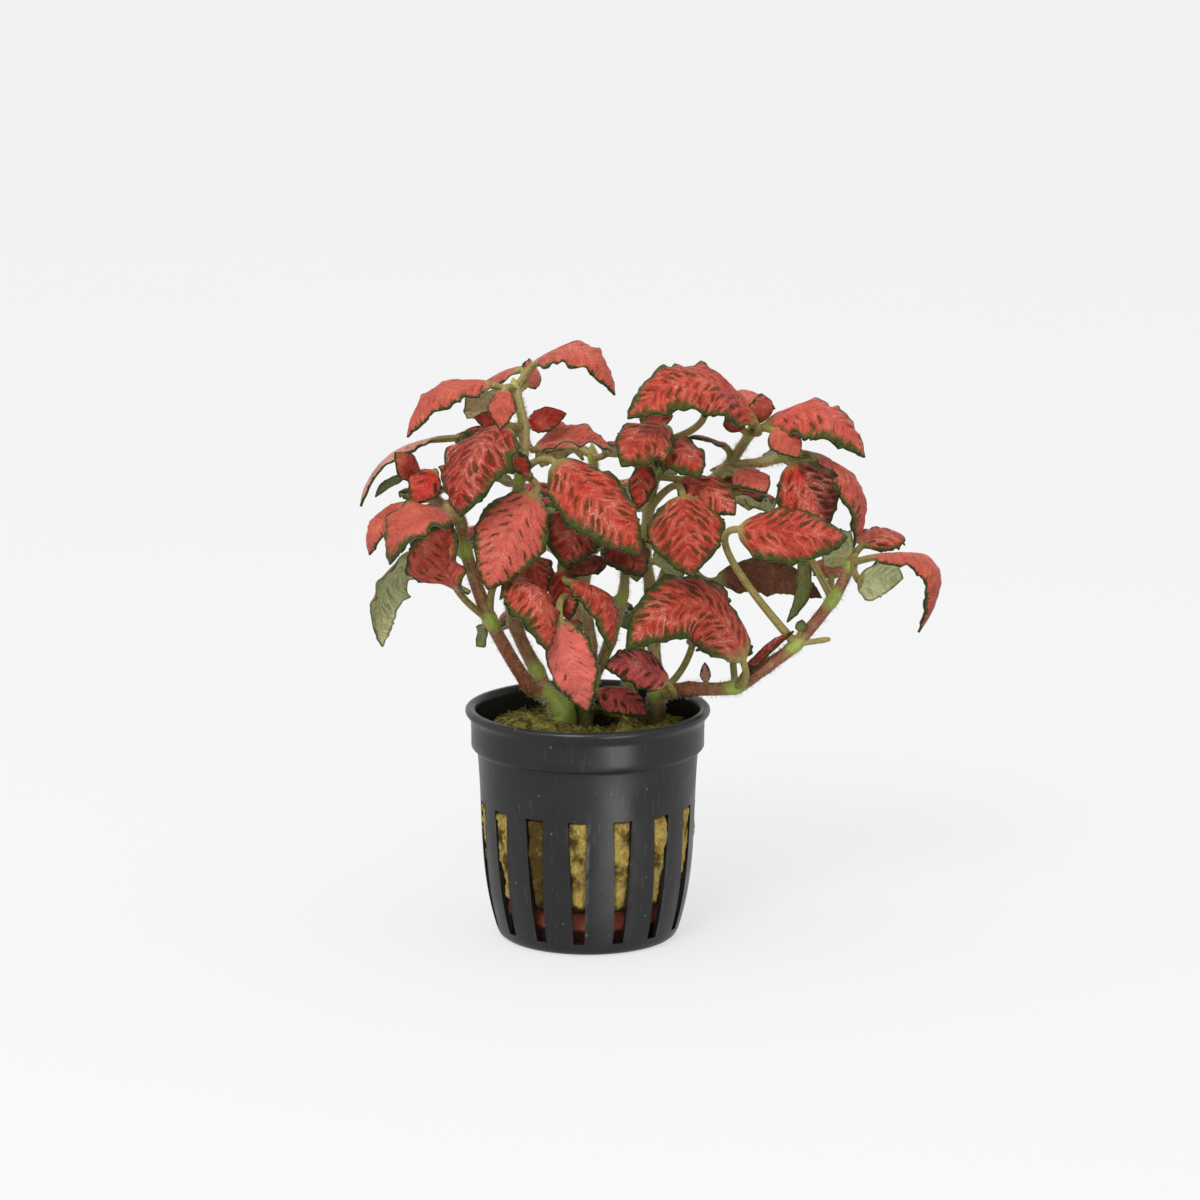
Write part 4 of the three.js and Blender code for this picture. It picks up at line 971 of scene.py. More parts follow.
def leaf_finish(settings):
    """Red leaves: pink veins over red flesh, short olive islands, a ragged green rim and a pale back"""
    made = Finish("nerve_leaf")
    along, aside, seed = made.split(made.carried("place")[1])
    # The third trait is how much painted shade a leaf has
    marks, rim_width, dark = made.split(made.carried("traits")[1])
    rim_gap = made.carried("rim_gap")[0]
    upper = made.carried("upper")[0]
    stalk = made.carried("stalk")[0]
    face_tone = made.carried("face_tone")[1]
    back_tone = made.carried("back_tone")[1]
    spot = made.join(along, aside, seed)
    wander = made.swing(spot, 0.4, 2.0)
    ripple = made.swing(spot, 1.5, 2.0)
    flutter = made.swing(spot, 3.4, 3.0, 0.6)

    # Rows that lean forward with the side veins, cells between those veins, a dash about the middle of each
    # cell, and streaks along the rows
    out = made.math("ABSOLUTE", aside)
    leaned = made.times_plus(out, -0.85, along)
    leaned = made.times_plus(wander, 2.2, leaned)
    side_shift = made.times_plus(made.math("SIGN", aside), 31.4, seed)
    cell_place = made.times_plus(out, 1 / 3.2, side_shift)
    cell_place = made.times_plus(ripple, 0.7, cell_place)
    row_place = made.math("DIVIDE", leaned, 2.2)
    net = made.join(row_place, cell_place)
    gap = made.cells(net, "DISTANCE_TO_EDGE", 0.7)["Distance"]
    gap = made.times_plus(flutter, 0.2, gap)
    nearest = made.cells(net, "F1", 0.7)
    lot = made.split(nearest["Color"])[0]
    centre = made.split(nearest["Position"])
    off_row = made.times(made.math("SUBTRACT", row_place, centre[0]), 4.8)
    off_cell = made.times(made.math("SUBTRACT", cell_place, centre[1]), 2.9)
    dash = made.reach(off_row, off_cell)
    streak = made.noise(made.join(leaned, made.times(cell_place, 0.8), seed), 1.9, 4.0, 0.62)
    fine_net = made.cells(net, "DISTANCE_TO_EDGE", 1.0, 3.1)["Distance"]

    # Islands are bolder towards the rim, fade in patches, and each has a strength of its own
    patch = made.step(made.noise(spot, 0.22, 2.0), 0.36, 0.6, 0.4, 1.1)
    bold = made.times(marks, made.step(lot, 0.0, 0.6, 0.35, 1.0))
    bold = made.times(bold, made.step(out, 0.3, 1.9, 0.2, 1.0))
    bold = made.times(bold, patch)
    dash = made.times_plus(flutter, 1.5, dash)
    dash = made.times_plus(made.math("SUBTRACT", streak, 0.5), -0.8, dash)
    dash = made.times_plus(bold, -0.95, dash)
    island = made.step(dash, 0.0, 0.4, 1.0, 0.0)
    island = made.times(island, made.step(bold, 0.05, 0.4))

    # Pink vein lines, streaky flesh that deepens away from them, and the islands in it
    lively = made.math("MINIMUM", made.math("ADD", marks, 0.2), 1.0)
    cloud = made.noise(spot, 0.17, 2.0)
    ground = made.mix(made.step(cloud, 0.42, 0.62, 0.0, 0.35), face_tone, settings.vein)
    ground = made.shade(made.noise(spot, 0.3, 3.0), ground, 0.7, 1.25)
    flesh = made.shade(made.step(streak, 0.35, 0.68), ground, 1.08, 0.85)
    flesh = made.mix(lively, ground, flesh)
    depth = made.times(made.step(dash, 0.3, 1.1, 0.5, 0.0), lively)
    face = made.mix(depth, flesh, made.scaled(flesh, 0.62))
    # Painted shade: on shaded leaves the pink veins fade and the islands darken
    vein = made.times(made.step(gap, 0.0, 0.26, 0.6, 0.0), made.step(dark, 0.3, 0.9, 1.0, 0.5))
    vein = made.times(made.times(vein, lively), made.step(streak, 0.4, 0.65, 1.0, 0.0))
    face = made.mix(vein, face, settings.vein)
    face = made.mix(made.step(fine_net, 0.0, 0.1, 0.1, 0.0), face, settings.vein)
    mark = made.mix(dark, settings.mark, settings.painted_shade_mark)
    mark = made.shade(made.noise(spot, 1.7, 2.0), mark, 0.7, 1.4)
    face = made.mix(made.times(island, 0.9), face, mark)

    # Painted glints: whitish highlights on the vein lines of the palest patches
    painted_glint = made.times(made.step(gap, 0.02, 0.11, 0.75, 0.0), made.step(cloud, 0.5, 0.62))
    painted_glint = made.times(painted_glint, made.times(lively, made.step(flutter, 0.0, 0.08)))
    face = made.mix(painted_glint, face, settings.painted_glint_colour)

    # The rim's inner side is torn by the veins that run out into it
    ragged = made.times_plus(ripple, 1.6, rim_gap)
    ragged = made.times_plus(flutter, 0.8, ragged)
    ragged = made.times_plus(gap, -0.8, ragged)
    wide = made.times(rim_width, made.step(made.noise(spot, 0.16, 1.0), 0.35, 0.65, 0.55, 1.5))
    rim = made.step(made.math("DIVIDE", ragged, wide), 0.15, 1.0, 1.0, 0.0)
    margin = made.shade(made.noise(spot, 1.4, 3.0, 0.6), settings.margin, 0.4, 1.45)
    # Painted shade: on shaded leaves the rim darkens towards its edge tone
    margin = made.mix(made.times(dark, 0.6), margin, settings.edge)
    margin = made.mix(made.step(made.noise(spot, 0.9, 2.0), 0.5, 0.7, 0.0, 0.5), margin, mark)
    face = made.mix(rim, face, margin)
    face = made.mix(made.step(rim_gap, 0.05, 0.3, 0.8, 0.0), face, settings.edge)

    # The back shows the same net in pale green
    back = made.shade(made.step(streak, 0.3, 0.68), back_tone, 1.12, 0.74)
    back = made.mix(made.times(island, 0.5), back, made.scaled(back_tone, 0.5))
    back = made.mix(made.step(made.noise(spot, 0.35, 2.0), 0.5, 0.7, 0.0, 0.3), back, settings.stalk)
    back = made.mix(made.step(gap, 0.0, 0.12, 0.35, 0.0), back, made.scaled(back_tone, 1.2))
    back = made.mix(made.step(rim_gap, 0.1, 0.6, 0.7, 0.0), back, settings.margin)
    tone = made.mix(upper, back, face)
    stalk_tone = made.shade(made.noise(spot, 0.8, 2.0), settings.stalk, 0.75, 1.2)
    tone = made.mix(stalk, tone, stalk_tone)

    height = made.times_plus(gap, 1.5, made.times(flutter, 0.8))
    height = made.times_plus(made.step(fine_net, 0.0, 0.2), 0.16, height)
    height = made.times_plus(streak, 0.8, height)
    made.relief(height, 0.0004, 1.0)
    gloss = made.step(made.noise(spot, 0.5, 2.0), 0.35, 0.65, 0.22, 0.4)
    made.set(base_color=tone, roughness=gloss, specular_ior_level=0.18)
    return made.material


def stem_finish(settings):
    """Stems that go from red-brown to olive as they rise, with yellow-green joints"""
    made = Finish("nerve_stem")
    green = made.carried("green")[0]
    blush = made.carried("blush")[0]
    place = made.place()
    patch = made.swing(place, 0.55, 3.0)
    grain = made.noise(place, 2.4, 3.0, 0.6)
    blush = made.step(made.times_plus(patch, 1.3, blush), 0.15, 0.85)
    tone = made.mix(blush, settings.stalk, settings.stem)
    ragged = made.times_plus(patch, 1.3, green)
    tone = made.mix(made.step(ragged, 0.15, 1.0), tone, settings.joint)
    height = made.times_plus(patch, 5.0, made.split(place)[2])
    # Partly moss, partly painted shade: the foot darkens close to the wool
    low = made.step(height, 45.5, 49.5, 0.85, 0.0)
    moss_and_shade = made.times(low, made.step(green, 0.6, 0.95, 1.0, 0.5))
    tone = made.mix(moss_and_shade, tone, settings.foot)
    tone = made.shade(grain, tone, 0.6, 1.3)
    made.relief(grain, 0.00016, 0.7)
    made.set(base_color=tone, roughness=0.46, specular_ior_level=0.45)
    return made.material


def hair_finish(settings):
    """Whitish hairs"""
    made = Finish("stem_hair")
    tone = made.shade(made.noise(made.place(), 1.2), tuple(settings.hair), 0.85, 1.05)
    made.set(base_color=tone, roughness=0.6)
    return made.material


def build_cutting(name, number, settings, finishes):
    """One cutting: its stems, leaves, stub and hairs fused in one piece"""
    shape = Shape()
    plan = CUTTINGS[name]
    hairs = []
    for i, stem in enumerate(plan.stems.values()):
        add_stem(shape, stem, plan.root if i == 0 else None, number * 10 + i, hairs)
    for i, row in enumerate(LEAVES[name]):
        leaf = Leaf(*row)
        joint = plan.stems[leaf.stem].joints[leaf.joint]
        add_leaf(shape, joint, leaf, number * 100 + i, settings)
    if name == "right_cutting":
        add_stub(shape)
    add_hairs(shape, hairs, settings.hair_length / MM, number)
    made = shape.piece(name + "_plant", finishes)
    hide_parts(name)
    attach(made, BODY)


def add_stub(shape):
    """The cut stalk on the right-hand stem, with a dry rounded end"""
    start, end = placed(STUB_FROM), placed(STUB_TO)
    t = np.linspace(0, 1, 9)
    places = start + (end - start) * t[:, None]
    along = np.tile(unit(end - start), (len(t), 1))
    radii = STUB_R * np.array([1.25, 1.05, 1, 0.98, 1, 1, 1.04, 0.98, 0.6])
    spot = np.stack([t * 7, t * 0, t * 0 + 3], -1)
    green = np.interp(t, (0, 0.3, 0.7, 1), (1, 0.3, 0.1, 0.2))
    add_tube(shape, places, along, radii, STEM_SIDES, first=(0, 0, 1.0), finish=1,
             place=spot, green=green, blush=np.full(len(t), 0.3))


def wall_radius(z):
    """The outside of the pot's wall: a smooth line through its outline"""
    heights, radii = zip(*WALL_OUTLINE)
    return np.polyval(np.polyfit(heights, radii, len(heights) - 1), z)


def slot_half(z):
    """Half of a slot's width at a height"""
    part = np.clip((z - SLOT_LOW_Z) / (SLOT_HIGH_Z - SLOT_LOW_Z), 0, 1)
    return (SLOT_LOW_WIDTH + (SLOT_HIGH_WIDTH - SLOT_LOW_WIDTH) * part) / 2


def pot_rows():
    """The pot's profile as rows of radius and height, from under its middle, over its rim and back to its
    middle, and which rows the slots start and end at, outside and inside"""
    slot_z = np.linspace(SLOT_LOW_Z, SLOT_HIGH_Z, SLOT_ROWS + 1)
    plain_z = np.array([31.5, 34.0, 36.5, 38.7])
    wall_z = np.concatenate([slot_z, plain_z])
    wall = [(wall_radius(z), z) for z in wall_z]
    foot = [(9, 0), (15, 0), (16.7, 0), (17.5, 0.22), (18.2, 0.75), (18.62, 1.5)]
    flare = [(22.66, 39.1), (22.95, 39.35), (23.5, 39.62), (BAND_R, 40.05)]
    band = [(BAND_R, 41.5), (BAND_R + 0.02, 43), (BAND_R + 0.05, 44.7)]
    rim = [(23.95, 45.3), (24.2, 45.85), (24.6, 46.35), (24.9, 46.75), (RIM_R, 47.1), (24.95, 47.5),
           (24.7, 47.8), (24.3, 47.97), (23.75, RIM_Z), (23.25, 47.85), (22.9, 47.4), (22.78, 46.4)]
    inner_band = [(22.8, 44), (22.8, 41.6), (22.75, 40.2), (22.3, 39.5), (21.75, 39.05)]
    inner_wall = [(r - WALL, z) for r, z in reversed(wall)]
    floor = [(17.5, 1.95), (17.1, 1.5), (16.5, FLOOR), (9, FLOOR)]
    rows = foot + wall + flare + band + rim + inner_band + inner_wall + floor
    first = len(foot)
    last_inner = len(rows) - len(floor) - 1
    return np.array(rows), first, last_inner


def pot_turns(rows):
    """The turn of each point of each row: columns follow the slots' edges, which spread as they rise,
    and from FLOOR_TURN_R in they run straight to the pot's axis"""
    sector = 2 * math.pi / SLOTS
    half = np.arcsin(slot_half(rows[:, 1]) / np.maximum(rows[:, 0], FLOOR_TURN_R))
    slot_part = np.linspace(-1, 1, SLOT_COLUMNS + 1)
    rib_part = np.linspace(0, 1, RIB_COLUMNS + 1)[1:-1]
    slot = half[:, None] * slot_part
    rib = half[:, None] + (sector - 2 * half)[:, None] * rib_part
    one = np.concatenate([slot, rib], 1)
    starts = SLOT_TURN - math.pi / 2 + np.arange(SLOTS) * sector
    return (starts[:, None] + one[:, None]).reshape(len(rows), -1)


def pot_shape():
    """The pot's quads with its slots left open and their walls bridged from outside to inside"""
    rows, first, last_inner = pot_rows()
    turns = pot_turns(rows)
    columns = turns.shape[1]
    points = np.stack([rows[:, :1] * np.cos(turns), rows[:, :1] * np.sin(turns),
                       np.broadcast_to(rows[:, 1:], turns.shape)], -1).reshape(-1, 3)
    total = len(points)
    points = np.vstack([points, (0, 0, 0), (0, 0, FLOOR)])
    quads = grid_faces(len(rows) - 1, columns, closed=True)
    row = np.arange(len(quads)) // columns
    column = np.arange(len(quads)) % columns % (SLOT_COLUMNS + RIB_COLUMNS)
    outer = (row >= first) & (row < first + SLOT_ROWS)
    inner = (row >= last_inner - SLOT_ROWS) & (row < last_inner)
    kept = quads[~((outer | inner) & (column < SLOT_COLUMNS))]

    def at(slot_row, slot_column, inside):
        """The number of a point of the slot's border, outside or inside"""
        line = last_inner - slot_row if inside else first + slot_row
        return line * columns + slot_column % columns

    def bridge(start, end):
        """A quad through the wall between two points of the slot's border"""
        return (at(*start, False), at(*end, False), at(*end, True), at(*start, True))

    sides = []
    for sector in range(SLOTS):
        left = sector * (SLOT_COLUMNS + RIB_COLUMNS)
        right = left + SLOT_COLUMNS
        for i in range(SLOT_ROWS):
            sides.append(bridge((i, left), (i + 1, left)))
            sides.append(bridge((i + 1, right), (i, right)))
        for i in range(left, right):
            sides.append(bridge((0, i + 1), (0, i)))
            sides.append(bridge((SLOT_ROWS, i), (SLOT_ROWS, i + 1)))
    under = fan(total, 0, columns, flipped=True)
    floor = fan(total + 1, (len(rows) - 1) * columns, columns)
    shape = Shape()
    shape.add(points, [kept, np.array(sides), under, floor])
    return shape


def cut_floor_slots(pot):
    """Six short slots in the pot's floor"""
    corners = [(x, y, z) for x in (FLOOR_SLOT_FROM, FLOOR_SLOT_TO)
               for y in (-FLOOR_SLOT_WIDTH / 2, FLOOR_SLOT_WIDTH / 2) for z in (-FLOOR, 2 * FLOOR)]
    block = [(0, 1, 3, 2), (4, 6, 7, 5), (0, 4, 5, 1), (2, 3, 7, 6), (0, 2, 6, 4), (1, 5, 7, 3)]
    tools = Shape()
    for i in range(FLOOR_SLOTS):
        turn = (i + 0.5) * 2 * math.pi / FLOOR_SLOTS
        c, s = math.cos(turn), math.sin(turn)
        spin = np.array([(c, s, 0), (-s, c, 0), (0, 0, 1)])
        tools.add(np.array(corners) @ spin, [np.array(block)])
    cutter = tools.piece("floor_slot_cutter", [])
    cut = pot.modifiers.new("Floor slots", "BOOLEAN")
    cut.operation = "DIFFERENCE"
    cut.object = cutter
    cut.solver = "EXACT"
    apply_modifiers(pot)
    bpy.data.objects.remove(cutter)


def apply_modifiers(piece):
    """Keeps the modified mesh as the piece's own"""
    bpy.context.view_layer.update()
    seen = piece.evaluated_get(bpy.context.evaluated_depsgraph_get())
    mesh = bpy.data.meshes.new_from_object(seen)
    piece.modifiers.clear()
    piece.data = mesh


def pot_finish(settings):
    """Charcoal plastic with a soft sheen, faint drag lines, dust and a few nicks"""
    made = Finish("charcoal_plastic")
    place = made.place()
    x, y, z = made.split(place)
    cloud = made.noise(place, 0.11, 3.0)
    grain = made.noise(place, 2.4, 2.0)
    streak_place = made.join(x, y, made.times(z, 0.12))
    streak = made.noise(streak_place, 1.5, 3.0, 0.6)
    drag = made.step(streak, 0.6, 0.72)
    cells = made.cells(place, "F1", 1.0, 0.42, "3D")
    lot = made.split(cells["Color"])[0]
    dot = made.step(cells["Distance"], 0.06, 0.16, 1.0, 0.0)
    speck = made.times(dot, made.step(lot, 0.84, 0.88))
    nick = made.times(dot, made.step(lot, 0.1, 0.14, 0.8, 0.0))
    tone = made.shade(cloud, settings.plastic, 0.82, 1.2)
    dust = made.times_plus(drag, 0.2, made.times(speck, 0.7))
    tone = made.mix(dust, tone, settings.scuff)
    smudge = made.math("MAXIMUM", made.step(made.noise(place, 0.6, 3.0, 0.6), 0.68, 0.73, 0.0, 0.7), nick)
    tone = made.mix(smudge, tone, made.scaled(settings.plastic, 0.3))
    rough = made.step(cloud, 0.3, 0.7, settings.roughness - 0.05, settings.roughness + 0.09)
    height = made.times_plus(grain, 0.3, made.times(nick, -2.0))
    height = made.times_plus(speck, 0.6, height)
    made.relief(height, 0.00006, 0.5)
    made.set(base_color=tone, roughness=rough, specular_ior_level=0.5)
    return made.material


def wool_radius(z):
    """The wool's own radius at a height"""
    heights, radii = zip(*WOOL_OUTLINE)
    return np.interp(z, heights, radii)


def lump(x, y, z, scale, seed):
    """Smooth noise between -1 and 1 at a place in millimetres"""
    return noise.noise(Vector((x * scale + seed, y * scale, z * scale)))


def wool_top(x, y):
    """How far the wool's top rises over its plain level: a hollow, a mound against the thickest stem, and a
    torn tuft in front"""
    dip = max(0.0, 1 - ((x - HOLLOW_X) / HOLLOW_R) ** 2 - ((y - HOLLOW_Y) / (HOLLOW_R * 0.8)) ** 2)
    mound = math.exp(-((x - MOUND_X) ** 2 + (y - MOUND_Y) ** 2) / (0.5 * MOUND_R ** 2))
    tuft = math.exp(-((x - TUFT_X) ** 2 + (y - TUFT_Y) ** 2) / (0.5 * TUFT_R ** 2))
    return MOUND_HEIGHT * mound + TUFT_HEIGHT * tuft - HOLLOW_DEPTH * dip


def wool_shape(settings):
    """The mineral wool plug: a lumpy top, and sides that bulge a little into the slots"""
    high = settings.lump / MM
    columns = SLOTS * 12
    side_z = np.concatenate([np.linspace(WOOL_LOW_Z, 30.5, 40), np.linspace(32, 42, 8)])
    top_r = np.concatenate([[20.6, 20.2, 19.5], np.linspace(18.8, 0.4, 34)])
    rows = [(3.0, WOOL_LOW_Z), (10.0, WOOL_LOW_Z)]
    rows += [(wool_radius(z), z) for z in side_z]
    rows += [(r, WOOL_TOP_Z - max(r - 19.5, 0) * 1.1) for r in top_r]
    turns = np.arange(columns) * 2 * math.pi / columns + SLOT_TURN - math.pi / 2
    points = []
    for r, z in rows:
        on_top = z > 42.05
        for turn in turns:
            x, y = r * math.cos(turn), r * math.sin(turn)
            rough = sum(part * lump(x, y, z, scale, seed) for part, scale, seed in LUMPS)
            if on_top:
                part, scale, seed = TOP_LUMPS
                rough += part * lump(x, y, z, scale, seed)
                inner = min((WOOL_TOP_R - r) / 3, 1)
                points.append((x, y, z + wool_top(x, y) + high * rough * inner))
                continue
            off = (turn - turns[0]) * SLOTS / (2 * math.pi)
            off = (off - round(off)) * 2 * math.pi / SLOTS * r
            edge = slot_half(z) - abs(off)
            window = ease(edge, -0.1, 0.35) * ease(z, 9.4, 10.0) * (1 - ease(z, 28.2, 28.9))
            grow = (SLOT_BULGE + 0.75 * rough) * float(window) + 0.12 * rough
            points.append((x * (1 + grow / r), y * (1 + grow / r), z))
    points = np.array(points)
    total = len(points)
    points = np.vstack([points, (0, 0, WOOL_LOW_Z), points[-columns:].mean(0)])
    under = fan(total, 0, columns, flipped=True)
    cap = fan(total + 1, (len(rows) - 1) * columns, columns)
    shape = Shape()
    shape.add(points, [grid_faces(len(rows) - 1, columns, closed=True), under, cap])
    return shape


def add_fibres(shape, total):
    """Loose curved fibres on the wool's top and in the slots"""
    draw = np.random.default_rng(41)
    for i in range(total):
        t = np.linspace(-1, 1, 5)[:, None]
        half = draw.uniform(0.8, 2.2)
        bend = draw.uniform(-0.5, 0.5)
        if i % 2:
            r, turn = WOOL_TOP_R * 0.95 * math.sqrt(draw.uniform(0.02, 1)), draw.uniform(0, 2 * math.pi)
            centre = np.array((r * math.cos(turn), r * math.sin(turn), 0))
            way = unit(draw.normal(size=3) * (1, 1, 0.4))
            out = np.array((0, 0, 1.0))
            centre[2] = WOOL_TOP_Z + wool_top(centre[0], centre[1]) + draw.uniform(-0.1, 0.55)
        else:
            slot, z = draw.integers(0, SLOTS), draw.uniform(WOOL_LOW_Z + 1, SLOT_HIGH_Z - 1)
            turn = SLOT_TURN - math.pi / 2 + slot * 2 * math.pi / SLOTS
            out = np.array((math.cos(turn), math.sin(turn), 0))
            side = np.array((-math.sin(turn), math.cos(turn), 0))
            centre = out * (wool_radius(z) + draw.uniform(0.35, 0.8))
            centre = centre + side * draw.uniform(-0.6, 0.6) * slot_half(z) + (0, 0, z)
            way = unit(side * draw.uniform(-0.5, 0.5) + np.array((0, 0, 1.0)) * draw.choice((-1, 1)))
            half *= 0.7
        across = unit(np.cross(way, out))
        places = centre + way * half * t + across * bend * t ** 2 - out * 0.3 * t ** 2 * half
        ways = unit(np.gradient(places, axis=0))
        add_tube(shape, places, ways, FIBRE_R * np.array([0.4, 1, 1, 1, 0.4]), 3, first=out)


def wool_finish(settings):
    """Golden wool with wet stains, green on top and a fibrous grain; painted shade darkens its left, hollow
    and foot
    """
    made = Finish("mineral_wool")
    place = made.place()
    x, y, z = made.split(place)
    patch = made.noise(place, 0.22, 4.0, 0.6)
    strand_place = made.join(made.times(x, 2.2), made.times(y, 2.2), z)
    strand = made.noise(strand_place, 1.1, 5.0, 0.7)
    fine = made.noise(place, 3.5, 4.0, 0.7)
    tone = made.shade(strand, settings.wool, 0.3, 1.5)
    rust = made.step(made.noise(made.join(x, z, y), 0.3, 2.0), 0.55, 0.7, 0.0, 0.6)
    tone = made.mix(rust, tone, made.shade(strand, settings.rust, 0.6, 1.3))
    # Painted shade: the wool darkens on its left side and most round x = -9.5; the noise patches are stains
    band = made.step(made.math("ABSOLUTE", made.math("ADD", x, 9.5)), 2.0, 8.0, 0.16, 0.0)
    stains_and_left_shade = made.math("ADD", made.math("ADD", patch, band), made.step(x, -2.0, 3.0, 0.09, 0.0))
    stain_and_shade = made.shade(strand, settings.stain_and_shade, 0.3, 1.9)
    tone = made.mix(made.step(stains_and_left_shade, 0.5, 0.7, 0.0, 0.95), tone, stain_and_shade)
    clump = made.noise(place, 0.55, 3.0, 0.6)
    green = made.shade(made.step(clump, 0.36, 0.62), settings.moss, 0.3, 1.25)
    green = made.shade(fine, green, 0.5, 1.5)
    tone = made.mix(made.step(z, 36.0, 42.0, 0.0, 0.9), tone, green)
    aside = made.math("SUBTRACT", x, HOLLOW_X)
    behind = made.math("SUBTRACT", y, HOLLOW_Y)
    far = made.times_plus(clump, 4.0, made.reach(aside, behind))

    # Painted shade darkens the hollow, and a ragged line of painted shadow runs along the wool's lower edge
    # over the clay
    hollow_shade = made.times(made.step(far, 8.0, 10.5, 0.95, 0.0), made.step(z, 38.0, 40.0))
    tone = made.mix(hollow_shade, tone, made.shade(fine, settings.stain_and_shade, 0.05, 0.5))
    # Painted shadow along the wool's ragged lower edge, where a gap lies over the clay
    gap_shadow = made.times_plus(clump, -5.0, z)
    tone = made.mix(made.step(gap_shadow, 7.4, 9.0, 0.93, 0.0), tone, made.shade(fine, settings.stain_and_shade, 0.05, 0.5))
    height = made.math("ADD", strand, made.times(fine, 0.8))
    made.relief(height, 0.0006, 0.9)
    made.set(base_color=tone, roughness=0.95, specular_ior_level=0.15)
    return made.material


def clay_shape():
    """The fired clay ring that weighs the pot down"""
    columns = 90
    low, high = RING_LOW_Z, RING_HIGH_Z
    section = [(RING_HOLE, low), (11, low), (15.7, low), (16.2, low + 0.2), (RING_R, low + 0.7)]
    section += [(RING_R, z) for z in np.linspace(low + 1.6, high - 1.6, 6)]
    section += [(RING_R, high - 0.7), (16.2, high - 0.2), (15.7, high), (11, high), (RING_HOLE, high)]
    section += [(RING_HOLE, z) for z in np.linspace(high - 1.4, low + 1.4, 5)]
    points = []
    for r, z in section:
        for i in range(columns):
            turn = 2 * math.pi * i / columns
            x, y = r * math.cos(turn), r * math.sin(turn)
            grow = 0.16 * lump(x, y, z, 0.8, 5) * ease(np.array(r), 10.0, 15.0)
            points.append((x * (1 + grow / r), y * (1 + grow / r), z))
    rows = len(section)
    quads = grid_faces(rows, columns, closed=True) % (rows * columns)
    shape = Shape()
    shape.add(points, [quads])
    return shape


def clay_finish(settings):
    """Rough fired clay, with painted shade darkening its foot"""
    made = Finish("fired_clay")
    place = made.place()
    coarse = made.noise(place, 0.35, 4.0, 0.6)
    fine = made.noise(place, 3.0, 4.0, 0.7)
    tone = made.shade(coarse, settings.clay, 0.6, 1.25)
    tone = made.shade(fine, tone, 0.8, 1.15)
    # Painted shade: darker towards the foot
    foot_shade = made.times_plus(coarse, 3.0, made.split(place)[2])
    tone = made.shade(made.step(foot_shade, 5.6, 7.4), tone, 0.08, 1.0)
    made.relief(made.math("ADD", fine, coarse), 0.0003, 0.8)
    made.set(base_color=tone, roughness=0.85, specular_ior_level=0.25)
    return made.material


class NERVEPLANT_OT_pot(bpy.types.Operator):
    """Builds the charcoal net pot with its slots, band and rolled rim"""

    bl_idname = "nerveplant.pot"
    bl_label = "Net Pot"

    def execute(self, context):
        settings = context.scene.nerve_plant.pot
        made = pot_shape().piece("net_pot_moulded", [pot_finish(settings)])
        cut_floor_slots(made)
        bevel = made.modifiers.new("Moulded edges", "BEVEL")
        bevel.width = settings.edge
        bevel.segments = 2
        bevel.limit_method = "ANGLE"
        bevel.angle_limit = math.radians(50)
        apply_modifiers(made)
        made.data.shade_smooth()
        made.data.set_sharp_from_angle(angle=math.radians(45))
        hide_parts("net_pot")
        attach(made, BODY)
        return {"FINISHED"}


class NERVEPLANT_OT_filling(bpy.types.Operator):
    """Builds the mineral wool plug and the clay weight ring under it"""

    bl_idname = "nerveplant.filling"
    bl_label = "Wool and Clay"

    def execute(self, context):
        settings = context.scene.nerve_plant.filling
        wool = wool_shape(settings)
        add_fibres(wool, settings.fibres)
        pieces = [
            (wool, "wool_plug_fibrous", wool_finish, "wool_plug", "wool"),
            (clay_shape(), "clay_ring_fired", clay_finish, "clay_ring", "clay"),
        ]
        for shape, name, finish, node, slot in pieces:
            made = shape.piece(name, [finish(settings)], math.radians(60))
            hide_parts(node)
            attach(made, BODY)
        return {"FINISHED"}


class NERVEPLANT_OT_cuttings(bpy.types.Operator):
    """Builds the five leafy cuttings with veined leaves, jointed stems and fine hairs"""

    bl_idname = "nerveplant.cuttings"
    bl_label = "Leafy Cuttings"

    def execute(self, context):
        settings = context.scene.nerve_plant.foliage
        finishes = [leaf_finish(settings), stem_finish(settings), hair_finish(settings)]
        for number, name in enumerate(CUTTINGS, 1):
            build_cutting(name, number, settings, finishes)
        return {"FINISHED"}


def lamp(name, kind, place, target, energy, **shape):
    """A light that looks at a point"""
    data = bpy.data.lights.new(name, kind)
    data.energy = energy
    for key, value in shape.items():
        setattr(data, key, value)
    made = bpy.data.objects.new(name, data)
    made.location = place
    made.rotation_euler = (Vector(target) - Vector(place)).to_track_quat("-Z", "Y").to_euler()
    bpy.context.scene.collection.objects.link(made)
    return made


